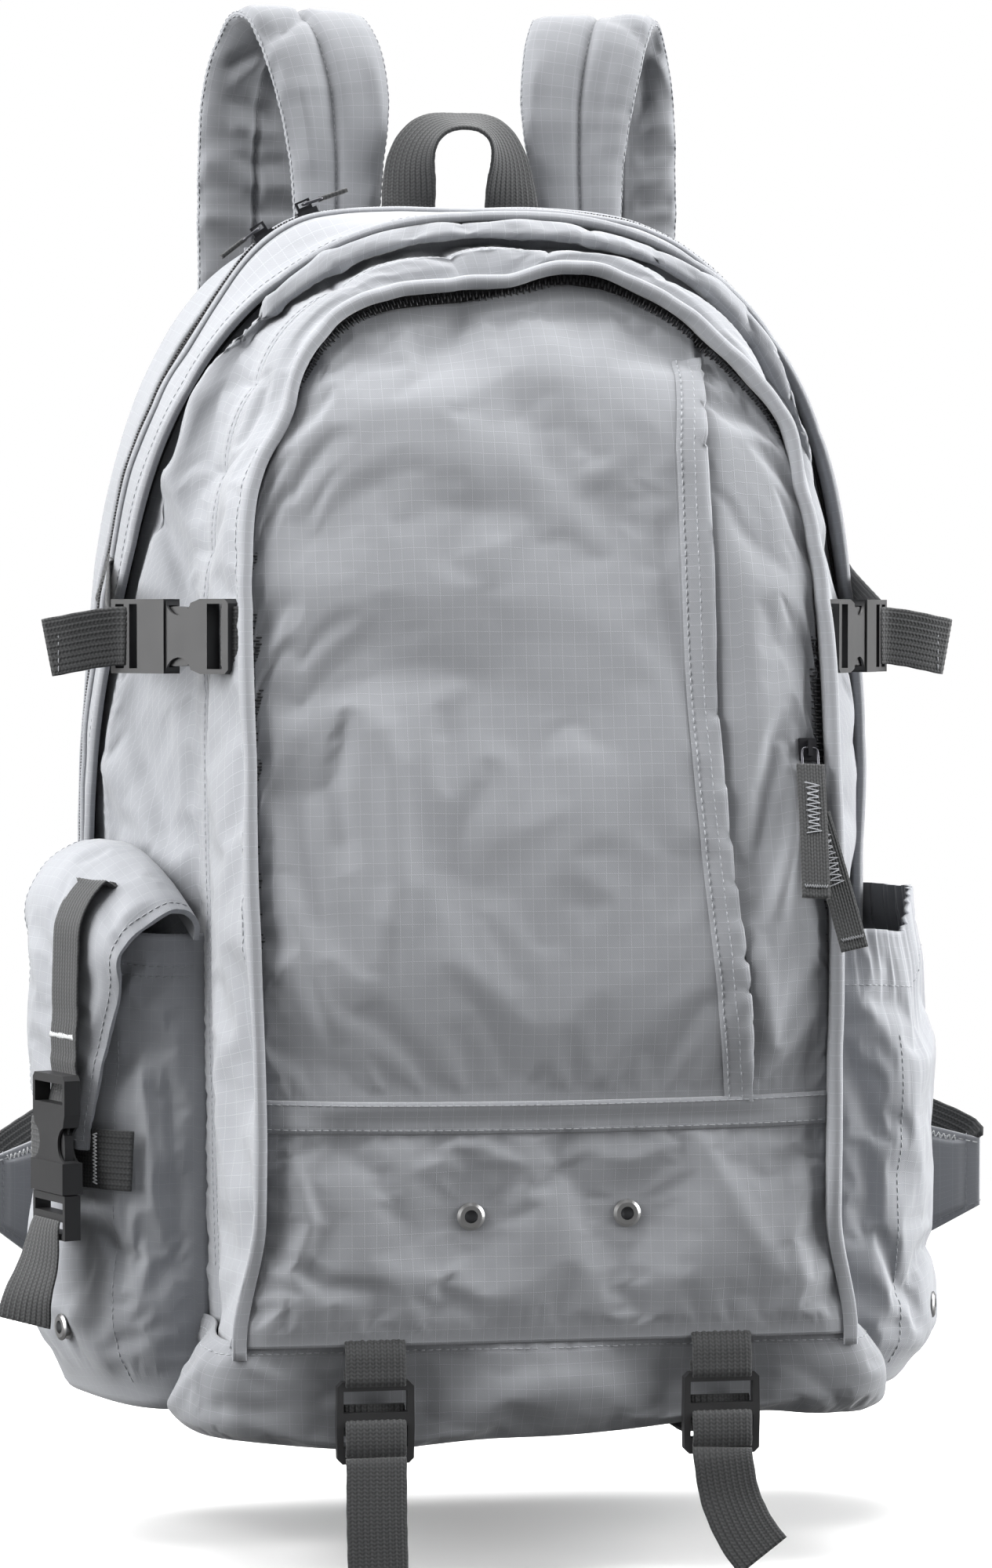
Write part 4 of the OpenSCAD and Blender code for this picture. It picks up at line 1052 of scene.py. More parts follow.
eye_r = np.minimum(np.hypot(X2 - 32, Z2 - 92), np.hypot(X2 + 32, Z2 - 92))
ew = sm(-eye_r, -30, -7)
P[..., 1] = P[..., 1] * (1 - ew) - 109.4 * ew
uv2 = np.stack([X2, -Z2], -1)
ob = sheet("low_s", P, M_PANEL, uv2, 0)
relax(ob, np.maximum(border_pin(nv2, nu2, (2, 2), (3, 3), 5), sm(-eye_r, -14, -8)), frames=12, shrink=-0.012, pressure=0.22, cap=4, stiff=12)
P = read_grid(ob, nv2, nu2)
bpy.data.objects.remove(ob)
PL = P
N = grid_normals(P)
fl = np.mean(N[..., 1]) < 0
NL = N * (1 if fl else -1)
ob = sheet("lower_panel_cloth", P, M_PANEL, uv2, 1.0, flip=not fl)
done(ob, "pack", "lower_front_panel")
bm = bmesh.new()
bm.from_mesh(ob.data)
dead = [f for f in bm.faces if min(math.hypot(f.calc_center_median().x * 1000 - e_, f.calc_center_median().z * 1000 - 92) for e_ in (-32, 32)) < 3.9]
bmesh.ops.delete(bm, geom=dead, context="FACES")
bm.to_mesh(ob.data)
bm.free()
# painted shade: a dark closed tube behind each eyelet hole stands in for the shaded inside of the bag
for e_ in (-32.0, 32.0):
    V, F, uv = sweep_data([[e_, -109.0, 92], [e_, -106.5, 92], [e_, -104.0, 92]], [[1, 0, 0]] * 3, [[0, 0, 1]] * 3, ring(4.6, 20))
    done(mesh("eyelet_throat_%s" % ("left" if e_ < 0 else "right"), V, F, uv, M_PAINTED_SHADE_CLOTH), "pack")


def on_low(x, z, lift=0.0):
    x, z = np.asarray(x, float), np.asarray(z, float)
    r = np.interp(-z, -z2, np.arange(nv2))
    c = np.interp(x / low_w(z), u2, np.arange(nu2))
    p, nn = sample(PL, r, c), unit(sample(NL, r, c))
    return p + nn * lift, nn


# the band across the front, sewn with two rows
xb = np.linspace(-115.0, 115.0, 150)
zc = 132.5 + 1.6 * (xb / 112) ** 2 - 0.6
rows = []
for dz, lf in ((6.6, 0.2), (6.3, 1.3), (5.0, 1.8), (2.5, 1.9), (0, 1.7), (-2.5, 1.9), (-5.0, 1.8), (-6.3, 1.3), (-6.8, 0.1)):
    z = zc + dz
    pa, na = on_panel(xb, np.maximum(z, 134.2))
    pb, nb = on_low(xb, np.minimum(z, 132.8))
    w = sm(z, 130, 137)[:, None]
    p = pb * (1 - w) + pa * w
    p[:, 2] = z
    p[:, 1] = np.minimum(p[:, 1], -106.5 - 2.5 * sm(115.0 - np.abs(xb), -2, 6)) - lf - 0.25 * noise(p, 14, 3)
    rows.append(p)
bd = np.stack(rows)
N = grid_normals(bd)
fl = np.mean(N[..., 1]) < 0
ob = sheet("seam_band_cloth", bd, M_PANEL, None, 1.0, flip=not fl)
done(ob, "pack", "seam_band")
for k in (2, 6):
    stitch_line(("thread", "pack"), bd[k] + [0, -0.1, 0], np.broadcast_to([0, -1.0, 0], bd[k].shape))


# ------------------------------------------------------------------ base
def loop_pts(half):
    h = np.asarray(half, float)
    full = np.concatenate([h, (h * [-1, 1])[::-1][1:-1]])
    return full


def closed_smooth(pts, n):
    k = len(pts)
    t = np.linspace(0, k, n, endpoint=False)
    i = np.floor(t).astype(int)
    f = (t - i)[:, None]
    g = lambda j: pts[j % k]
    a, b, c, d = g(i - 1), g(i), g(i + 1), g(i + 2)
    return 0.5 * (2 * b + (c - a) * f + (2 * a - 5 * b + 4 * c - d) * f * f + (3 * b - a - 3 * c + d) * f ** 3)


LV = [
    (43, [(0, -107.4), (60, -107.6), (108, -106.6), (125, -103.5), (131, -93), (131, -72), (128, -46), (129, -28), (140, -4), (155, 42), (162.5, 62), (162.5, 84), (157, 98), (120, 101.5), (0, 101.5)]),
    (39, [(0, -109.2), (60, -109.4), (109, -108), (128, -104.5), (135, -93), (136, -72), (131, -47), (131, -29), (141.5, -4), (156, 43), (164, 62), (164, 84), (158, 98.5), (120, 102), (0, 102)]),
    (27, [(0, -111.0), (60, -111.6), (112, -109.5), (134, -103), (143, -89), (144, -69), (138, -50), (135, -31), (143.5, -4), (159, 45), (167, 64), (167, 84), (160, 99), (120, 102.5), (0, 102.5)]),
    (13, [(0, -109), (60, -110), (112, -108), (135, -101), (146, -86), (148, -67), (142, -50), (137, -30), (145, -4), (160, 45), (167, 64), (167, 84), (160, 98), (120, 101.5), (0, 101.5)]),
    (5, [(0, -102.5), (60, -103.5), (111, -102), (132, -95.5), (142, -83), (144, -66), (139, -49), (134, -29), (142, -4), (157, 44), (163, 62), (163, 82), (156, 94), (118, 97.5), (0, 97.5)]),
    (1.5, [(0, -92), (60, -93), (104, -91), (122, -86), (131, -76), (133, -62), (129, -46), (125, -27), (133, -4), (147, 41), (152, 58), (152, 76), (146, 86), (110, 89), (0, 89)]),
    (0.8, [(0, -74), (50, -74), (84, -73), (98, -69), (105, -61), (107, -50), (104, -37), (100, -22), (106, -3), (118, 33), (122, 46), (122, 61), (117, 69), (88, 71), (0, 71)]),
    (0.6, [(0, -30), (20, -30), (34, -29), (40, -27), (43, -24), (44, -19), (43, -14), (41, -8), (43, -1), (48, 14), (50, 20), (50, 27), (48, 31), (36, 33), (0, 33)]),
]
nb = 560
rows = []
for z, half in LV:
    q2 = closed_smooth(loop_pts(half), nb)
    rows.append(np.concatenate([q2, np.full((nb, 1), float(z))], 1))
rows = np.stack(rows)
s = np.concatenate([np.linspace(i, i + 1, c, endpoint=False) for i, c in enumerate((4, 8, 9, 8, 6, 5, 5))] + [[7]])
P = cat(rows, s)
N = grid_normals(P, True)
ctr = P - np.array([0, 0, 22.0])
if np.mean(np.sum(N * ctr, -1)) < 0:
    N = -N
low = sm(-P[..., 2], -30, -6)
front = sm(-P[..., 1], 20, 90)
x = P[..., 0]
sag = (-5.5 * np.exp(-((x + 70) / 46) ** 2) + 5.0 * np.exp(-((x - 92) / 34) ** 2) - 2.0 * np.exp(-((x - 5) / 30) ** 2)) * front
P[..., 2] += sag * low
P = P + N * (fbm(P, (58, 58, 26), 51, 3, 0.55) * 2.2 * sm(-P[..., 2], -43, -30) * sm(P[..., 2], 1.0, 7))[..., None]
P = creases(P, N, [([(430, 1725), (520, 1745), (640, 1748), (860, 1728)], 15, -2.2), ([(300, 1730), (360, 1760), (430, 1770)], 12, 2.0), ([(250, 1790), (330, 1800), (430, 1790)], 12, -2.0),
                   ([(540, 1800), (660, 1790), (860, 1780)], 16, 2.2), ([(985, 1730), (1040, 1760), (1085, 1800)], 12, -2.2), ([(280, 1700), (240, 1760), (205, 1815)], 9, 2.6), ([(262, 1720), (222, 1770), (190, 1800)], 9, -2.4)])
UB = np.arctan2(P[..., 0], P[..., 1])
uvb = np.stack([P[..., 0], np.where(P[..., 2] > 1.2, P[..., 2] - P[..., 1] * 0, P[..., 1] + 90)], -1)
per = np.r_[0, np.cumsum(np.linalg.norm(np.diff(P[6], axis=0), axis=1))]
dwn = np.cumsum(np.r_[np.zeros((1, nb)), np.linalg.norm(np.diff(P, axis=0), axis=2)], 0)
uvb = np.stack([np.broadcast_to(per, P.shape[:2]), dwn], -1)
mb = P.shape[0]
uvb2 = uvb.reshape(-1, 2)
bagb = Bag()
F = grid_faces(mb, nb, True)
Vb = P.reshape(-1, 3)
lockw = np.exp(-(np.minimum(np.abs(P[..., 0] - 71), np.abs(P[..., 0] + 71)) / 42) ** 3) * sm(-P[..., 2], -44, -34) * (P[..., 1] < -60)


def behind_locks(Q):
    Q[..., 1] = Q[..., 1] + lockw * np.clip(-104.6 - Q[..., 1], 0, 20)
    return Q


P = behind_locks(P)
Vb = P.reshape(-1, 3)
ob = mesh("base_s", Vb, F, uvb2, M_BASE_PAINTED_SHADE)
pinb = np.zeros((mb, nb))
pinb[:3] = 1
pinb[-14:] = 1
pinb[3:6] = [[0.6], [0.4], [0.2]]
relax(ob, pinb, frames=10, shrink=-0.014, pressure=0.12, cap=4)
P = behind_locks(read_grid(ob, mb, nb))
bpy.data.objects.remove(ob)
PBs = P
N = grid_normals(P, True)
if np.mean(np.sum(N * (P - [0, 0, 22.0]), -1)) < 0:
    N = -N
NBs = N
Fl = F.tolist() + [list(range((mb - 1) * nb, mb * nb))]
ob = mesh("base_cloth", P.reshape(-1, 3), Fl, uvb2, M_BASE_PAINTED_SHADE)
import bmesh
bm = bmesh.new()
bm.from_mesh(ob.data)
bmesh.ops.recalc_face_normals(bm, faces=bm.faces)
bm.to_mesh(ob.data)
bm.free()
sol = ob.modifiers.new("thick", "SOLIDIFY")
sol.thickness = 0.0011
sol.offset = -1
done(ob, "pack", "base_tray", "base_board")
# seam stitches just under the top of the base, on the part that shows
j = np.arange(0, nb)
stitch_line(("thread", "pack"), PBs[5], NBs[5])
# points just off the base seam; no piping is built from them
rp = PBs[1] + NBs[1] * 0.3


# ------------------------------------------------------------------ side frames
KS = math.hypot(0.355, 0.935)
SA, SC = 0.355 / KS, 0.935 / KS


def on_side(s, L):
    L = np.asarray(L, float)
    f = np.array([-s * SA, -SC, 0])
    nn = np.array([s * SC, -SA, 0])
    return np.array([148.0 * s, 16.0, 0]) + L[..., :1] * f + L[..., 1:2] * nn + L[..., 2:3] * np.array([0, 0, 1.0])


def dir_side(s, L):
    return on_side(s, L) - np.array([148.0 * s, 16.0, 0])


def pocket(s, name, depth_pts, rim, gather, seed, marks, nodes):
    na, nz = 150, 88
    a = np.linspace(math.pi, 0, na)
    v = np.linspace(0, 1, nz)
    zl = np.array([p[0] for p in depth_pts], float)
    dl = np.array([p[1] for p in depth_pts], float)
    ex = 2 / 2.7
    xr = -4 + 48.0 * spow(np.cos(a), ex)
    yr = spow(np.sin(a), ex)
    top = rim(xr)
    Zg = 7 + (top - 7)[None] * (1 - v)[:, None]
    D = np.interp(Zg.ravel(), zl[::-1], dl[::-1]).reshape(Zg.shape)
    k = np.ones(7) / 7
    D = np.stack([np.convolve(np.pad(D[:, c], 3, mode="edge"), k, mode="valid") for c in range(na)], 1)
    Lx = np.broadcast_to(xr, Zg.shape) + 0
    Ly = yr * D
    near = np.exp(-(top[None] - Zg) / 20.0)
    Ly = Ly - 4.5 * (1 - sm(yr, 0.0, 0.42))
    L = np.stack([Lx, Ly, Zg], -1)
    per = np.r_[0, np.cumsum(np.linalg.norm(np.diff(L[nz // 2], axis=0), axis=1))]
    if gather:
        g = np.cos(per * TAU / 7.3 + 2.2 * np.sin(per / 11.0)) + 0.5 * np.cos(per * TAU / 4.1 + 1)
        L[..., 1] = L[..., 1] * (1 - 0.05 * near) + (g[None] * 0.8 * np.exp(-(top[None] - Zg) / 34.0)) * sm(Ly, 2, 9)
    # bottom closes in
    rows_b = []
    for t, zz_ in ((0.93, 4.5), (0.8, 3.0), (0.55, 2.2), (0.2, 2.0)):
        b = L[-1].copy()
        b[:, 1] *= t
        b[:, 0] = -4 + (b[:, 0] + 4) * (0.6 + 0.4 * t)
        b[:, 2] = zz_
        rows_b.append(b)
    L = np.concatenate([L, np.stack(rows_b)])
    P = on_side(s, L)
    mm, nn_, _ = P.shape
    N = grid_normals(P)
    out = dir_side(s, np.array([0, 1.0, 0]))
    if np.mean(np.sum(N * out, -1)) < 0:
        N = -N
    w = sm(Ly, 0, 14)
    w = np.concatenate([w, np.zeros((4, nn_))]) * sm(np.arange(mm), 2, 16)[:, None] * sm(mm - 1 - np.arange(mm), 4, 12)[:, None]
    P = P + N * (fbm(P, (38, 38, 52), seed, 3, 0.55) * 2.2 * w)[..., None]
    if gather:
        P = P + N * (np.maximum(0, fbm(P, (7, 7, 60), seed + 3, 2)) * 1.2 * np.concatenate([near, np.zeros((4, nn_))]) * w)[..., None]
    if marks:
        P = P + (creases(P, N, marks) - P) * w[..., None]
    ob = mesh(name + "_s", P.reshape(-1, 3), grid_faces(mm, nn_), None, M_POCKET)
    pin = border_pin(mm, nn_, (0, 8), (3, 3), 4)
    pin[:3] = np.maximum(pin[:3], 0.9)
    relax(ob, pin, frames=12, shrink=-0.016, pressure=0.22, cap=5)
    P = read_grid(ob, mm, nn_)
    bpy.data.objects.remove(ob)
    N = grid_normals(P)
    fl = np.mean(np.sum(N * out, -1)) > 0
    N = N * (1 if fl else -1)
    uvp = np.stack([np.broadcast_to(per, (mm, nn_)), np.cumsum(np.r_[np.zeros((1, nn_)), np.linalg.norm(np.diff(P, axis=0), axis=2)], 0)], -1)
    ob = sheet(name, P, M_POCKET, uvp, 1.4, flip=not fl)
    done(ob, "pack", *nodes)
    # painted shade: a dark sheet just inside the upper part of the pocket stands in for the shade in its interior
    Q = P[:46] - N[:46] * 1.9
    ob = sheet(name + "_painted_shade_sheet", Q, M_PAINTED_SHADE_CLOTH, None, 0, flip=fl)
    done(ob, "pack")
    return P, N


PR, NR_ = pocket(1, "right_pocket_cloth", [(240, 34), (203, 35), (180, 39), (140, 43), (95, 42), (70, 43), (45, 46), (25, 45), (16, 40), (7, 30)],
                 lambda x: 199 + 17 * sm(-x, -26, 34) - 1.5 * np.sin(x / 9.0), True, 61,
                 [([(1075, 1310), (1110, 1450), (1105, 1600)], 14, -2.4), ([(1185, 1300), (1160, 1420), (1175, 1560)], 13, 2.4), ([(1120, 1560), (1150, 1640), (1140, 1720)], 12, -2.4), ([(1190, 1560), (1165, 1640), (1180, 1720)], 11, -2.0)], ("right_pocket",))
PLp, NLp = pocket(-1, "left_pocket_cloth", [(230, 37), (203, 38), (180, 40), (140, 42), (95, 44), (60, 45), (34, 43), (18, 36), (7, 26)],
                  lambda x: 201 + 2.5 * np.sin(x / 15.0), False, 71,
                  [([(180, 1330), (190, 1450), (205, 1600)], 10, 2.2), ([(215, 1340), (225, 1480), (235, 1640)], 10, -2.2), ([(110, 1540), (150, 1600), (165, 1700)], 12, -2.6), ([(60, 1650), (110, 1690), (150, 1760)], 12, 2.4), ([(80, 1560), (95, 1640), (80, 1720)], 10, -2.0)], ("left_pocket",))
cR = np.arange(4, 146, 0.5)
for off in (10.6,):
    stitch_line(("thread", "pack"), sample(PR, off, cR), sample(NR_, off, cR))
stitch_line(("thread", "pack"), sample(PLp, 6.0, cR), sample(NLp, 6.0, cR))
stitch_line(("thread", "pack"), sample(PLp, 8.0, cR), sample(NLp, 8.0, cR))
for PX, NX in ((PR, NR_), (PLp, NLp)):
    r = np.arange(20, 84, 0.5)
    stitch_line(("thread", "pack"), sample(PX, r, np.full(len(r), 112.0)), sample(NX, r, np.full(len(r), 112.0)))


# ------------------------------------------------------------------ left pocket flap
nw, nl = 70, 90
path = smooth_path([(3, 224), (3, 232), (11, 238.6), (24, 237.6), (37, 230), (45.5, 217), (48.2, 200), (49.0, 165), (48.6, 122)], 1.0)
path = resample(path, nl)
sl = np.linspace(0, 1, nl)
w1 = np.linspace(-1, 1, nw)
xf = np.interp(sl, [0, 0.2, 0.38, 0.6, 0.8, 0.95, 1], [50, 51, 48, 41, 34.5, 29, 27])
xf = smooth1(xf, 5)
xr_ = np.interp(sl, [0, 0.3, 0.7, 0.86, 0.95, 1], [-40, -37, -35, -30, -20, -10])
Wg, Sg = np.meshgrid(w1, sl)
Lx = (xf + xr_)[:, None] / 2 + Wg * (xf - xr_)[:, None] / 2
dn = sm(Sg, 0.26, 0.6)
Ly = path[:, :1] - 11.0 * np.clip((Lx - 12) / 34, 0, 1.3) ** 2.0 * dn - 13.0 * np.clip((-6 - Lx) / 32, 0, 1.3) ** 2.0 * dn
Lz = path[:, 1:] - (25 * np.clip((Lx + 4) / 54, 0, 1.1) ** 1.5 + 8 * np.clip((-14 - Lx) / 26, 0, 1.2) ** 2.0 * sm(Sg, 0.05, 0.3)) * (1 - 0.75 * sm(Sg, 0.34, 1.0)) - 7 * (1 - np.clip((26 - Lx) / 40, 0, 1)) * sm(Sg, 0.7, 1) + 8 * np.clip((4 - Lx) / 30, 0, 1) * sm(Sg, 0.7, 1)
cr = sm(Wg, 0.86, 1.0)
Ly = Ly - 3.4 * cr * dn
Lz = Lz - 5.5 * cr * (1 - dn) * sm(Sg, 0.05, 0.3)
Lfl = np.stack([Lx, Ly, Lz], -1)
Pf = on_side(-1, Lfl)
N = grid_normals(Pf)
out = dir_side(-1, np.array([0, 0.7, 0.7]))
if np.mean(np.sum(N * out, -1)) < 0:
    N = -N
Pf = Pf + N * (fbm(Pf, (34, 34, 40), 81, 3) * 1.5 * sm(Sg, 0.05, 0.2))[..., None]
Pf = creases(Pf, N, [([(130, 1150), (165, 1220), (150, 1320)], 10, -1.6), ([(40, 1180), (52, 1260), (45, 1330)], 9, 1.2), ([(185, 1180), (165, 1260), (140, 1340)], 8, 1.6)])
ob = mesh("flap_s", Pf.reshape(-1, 3), grid_faces(nl, nw), None, M_POCKET)
pin = np.zeros((nl, nw))
pin[:6] = 1
pin[6:12] = 0.6
pin[:, nw // 2 + 4: nw // 2 + 18] = 0.9
pin[-2:] = np.maximum(pin[-2:], 0.5)
relax(ob, pin, frames=10, shrink=-0.01, pressure=0.08, cap=3)
Pf = read_grid(ob, nl, nw)
bpy.data.objects.remove(ob)
N = grid_normals(Pf)
fl = np.mean(np.sum(N * out, -1)) > 0
NFl = N * (1 if fl else -1)
uvf = np.stack([Lx, np.broadcast_to(sl[:, None] * 175, Lx.shape)], -1)
ob = sheet("pocket_flap_cloth", Pf, M_POCKET, uvf, 2.4, flip=not fl)
sub = ob.modifiers.new("soft_edge", "BEVEL")
sub.width = 0.0009
sub.segments = 2
sub.limit_method = "ANGLE"
sub.angle_limit = math.radians(50)
done(ob, "flap", "pocket_flap")
r = np.arange(8, nl - 2, 0.5)
for c in (2.2, nw - 3.2):
    stitch_line(("thread", "flap"), sample(Pf, r, np.full(len(r), c)), sample(NFl, r, np.full(len(r), c)))
c = np.arange(2.2, nw - 3.2, 0.5)
stitch_line(("thread", "flap"), sample(Pf, nl - 3.2, c), sample(NFl, nl - 3.2, c))


def flap_at(x, s_, lift):
    """On the flap: across position x (mm, local) and along fraction s_."""
    r = np.asarray(s_, float) * (nl - 1)
    c = (np.asarray(x, float) - (np.interp(s_, sl, xf) + np.interp(s_, sl, xr_)) / 2) / ((np.interp(s_, sl, xf) - np.interp(s_, sl, xr_)) / 2)
    c = (c + 1) / 2 * (nw - 1)
    return sample(Pf, r, c) + unit(sample(NFl, r, c)) * lift


# webbing over the flap, down to the buckle
ss = np.linspace(0.265, 0.90, 40)
ctr_ = flap_at(np.full(40, 20.0) - 3 * sm(ss, 0.7, 1.0), ss, 2.0)
ctr_[:2] = flap_at(np.full(2, 20.0), ss[:2], -2.4)
end = on_side(-1, np.array([[19, 53.2, 122], [20, 54.0, 114], [20, 53.8, 104]]))
cen = np.concatenate([ctr_, end])
fdir = dir_side(-1, np.array([1.0, 0, 0]))
webbing("flap_strap_webbing", cen, [fdir, fdir], M_WEB, width=24)
done(MADE["flap_strap_webbing"], "flap", "flap_strap")
tc = flap_at(np.array([18.6]), np.array([0.74]), 2.4)[0]
bar_tack(("white", "flap"), tc, fdir, dir_side(-1, np.array([0, 1.0, 0])), L=22, w=2.2)
lt = on_side(-1, np.array([[20, 58.0, 84], [20, 59.4, 80], [20, 62.0, 66], [19, 66.5, 52], [17, 67.5, 41]]))
webbing("flap_tail_webbing", lt, [fdir, unit(fdir + [0.35, 0.1, 0]), unit(fdir + [0.9, 0.25, 0.1])], M_WEB, width=24)
done(MADE["flap_tail_webbing"], "flap_tail", "flap_tail")
hz = np.array([[41, 29, 108], [34, 37, 108.5], [22, 43, 109], [6, 46.6, 109.5], [-20, 46, 110]], float)
webbing("pocket_webbing", on_side(-1, hz), [(0, 0, 1), (0, 0, 1)], M_WEB, width=25)
done(MADE["pocket_webbing"], "pack")
bar_tack(("white", "pack"), on_side(-1, np.array([30.5, 41.2, 109])), (0, 0, 1), dir_side(-1, np.array([0.45, 0.9, 0])), L=21, w=2.2)


# ------------------------------------------------------------------ back panel, yoke
nx_, nz_ = 130, 150
ux = np.sin(np.linspace(-1, 1, nx_) * math.pi / 2 * 0.99) / math.sin(math.pi / 2 * 0.99)
Wb_ = 160.0
xg = ux * Wb_
zt_ = 232 + (503 - 232) * np.clip(1 - np.abs(xg / Wb_) ** 3.0, 0, 1) ** (1 / 3.0)
Zg = 14 + (zt_ - 14) * np.linspace(0, 1, nz_)[:, None]
Xg = np.broadcast_to(xg, Zg.shape)
dd = np.minimum(Wb_ - np.abs(Xg), np.minimum(zt_ - Zg, Zg - 14))
pad = sm(dd, 4, 20)
groove = np.exp(-((np.abs(Xg) - 52) / 4.5) ** 2) + 0.8 * np.exp(-((Zg - 175) / 4.5) ** 2) * (np.abs(Xg) < 52) + 0.8 * np.exp(-((Zg - 330) / 4.5) ** 2) * (np.abs(Xg) < 52)
Yg = 99.0 + 7.0 * pad - 5.0 * np.clip(groove, 0, 1) * pad - 0.6 * sm(-dd, -4, 0) + 0.6 * fbm(np.stack([Xg, Zg, Zg * 0], -1), 40, 5)
Pk = np.stack([Xg, Yg, Zg], -1)
N = grid_normals(Pk)
fl = np.mean(N[..., 1]) > 0
ob = sheet("back_panel_mesh", Pk, M_MESH, np.stack([Xg, Zg], -1), 1.6, flip=not fl)
done(ob, "pack", "back_panel", "frame_sheet", "inner_sleeve")
# yoke that anchors the straps and the handle
ny = 80
xg = np.linspace(-97, 97, ny)
zg = np.linspace(450, 496, 26)
Xy, Zy = np.meshgrid(xg, zg)
dd = np.minimum(97 - np.abs(Xy), np.minimum(496 - Zy, Zy - 450))
Yy = 105.2 + 4.4 * sm(dd, -0.5, 5) - 1.0 * np.exp(-((dd - 6) / 1.2) ** 2) + 0.4 * noise(np.stack([Xy, Zy, Zy], -1), 22, 4)
Pk = np.stack([Xy, Yy, Zy], -1)
fl = np.mean(grid_normals(Pk)[..., 1]) > 0
ob = sheet("strap_yoke_cloth", Pk, M_STRAP, np.stack([Xy, Zy], -1), 1.4, flip=not fl)
done(ob, "pack", "strap_yoke")
for dz in (455.5, 490.5):
    xx_ = np.linspace(-90, 90, 120)
    stitch_line(("thread", "pack"), np.stack([xx_, np.full(120, 109.3), np.full(120, dz)], -1), np.broadcast_to([0, 1.0, 0], (120, 3)))


# ------------------------------------------------------------------ shoulder straps
SP = np.array([(54.5, 112.8, 503), (54.5, 114, 518), (54.3, 116, 536), (55, 119, 562), (59, 125, 584), (65, 136, 598.5), (72, 150, 598.5), (79, 161, 584), (83, 167, 560), (84, 169, 520), (83, 171, 460),
               (82, 172, 400), (84, 170, 340), (90, 166, 290), (98, 160, 245), (104, 155, 210)], float)
SW = np.array([38, 40, 43, 51, 54, 54, 54, 54, 54, 54, 54, 54, 52, 46, 38, 30], float)
SX = np.array([(-.62, 0, 0)] * 2, float)


STRAP_FOLDS = {
    -1: [([(352, 56), (332, 34), (300, 22)], 7, -2.4), ([(348, 58), (322, 70), (286, 84)], 8, -2.6), ([(350, 62), (346, 120), (338, 180)], 9, -2.2), ([(352, 48), (374, 26), (398, 14)], 7, -2.2), ([(340, 66), (318, 92), (292, 108)], 9, 2.2),
         ([(286, 122), (312, 134), (350, 138)], 9, -2.0), ([(290, 158), (318, 168), (362, 172)], 10, 2.0), ([(296, 196), (325, 208), (372, 206)], 9, -2.2), ([(304, 232), (336, 240), (378, 238)], 10, 1.8), ([(312, 264), (342, 270), (384, 268)], 8, -2.0),
         ([(400, 40), (418, 110), (424, 190)], 12, -1.4), ([(470, 60), (486, 130), (500, 200)], 10, 1.4), ([(380, 90), (392, 160), (398, 230)], 10, 1.4)],
    1: [([(826, 56), (846, 36), (864, 28)], 7, -2.4), ([(828, 58), (848, 76), (868, 92)], 8, -2.6), ([(826, 62), (822, 120), (816, 180)], 9, -2.2), ([(824, 48), (796, 26), (766, 18)], 7, -2.2), ([(836, 70), (852, 96), (866, 112)], 9, 2.2),
        ([(812, 132), (840, 124), (868, 122)], 9, -2.0), ([(810, 166), (838, 160), (868, 156)], 10, 2.0), ([(808, 204), (838, 196), (868, 190)], 9, -2.2), ([(806, 236), (838, 232), (866, 226)], 10, 1.8), ([(806, 264), (836, 262), (864, 258)], 8, -2.0),
        ([(780, 50), (764, 120), (756, 200)], 12, -1.4), ([(690, 60), (676, 130), (664, 200)], 10, 1.4)]}


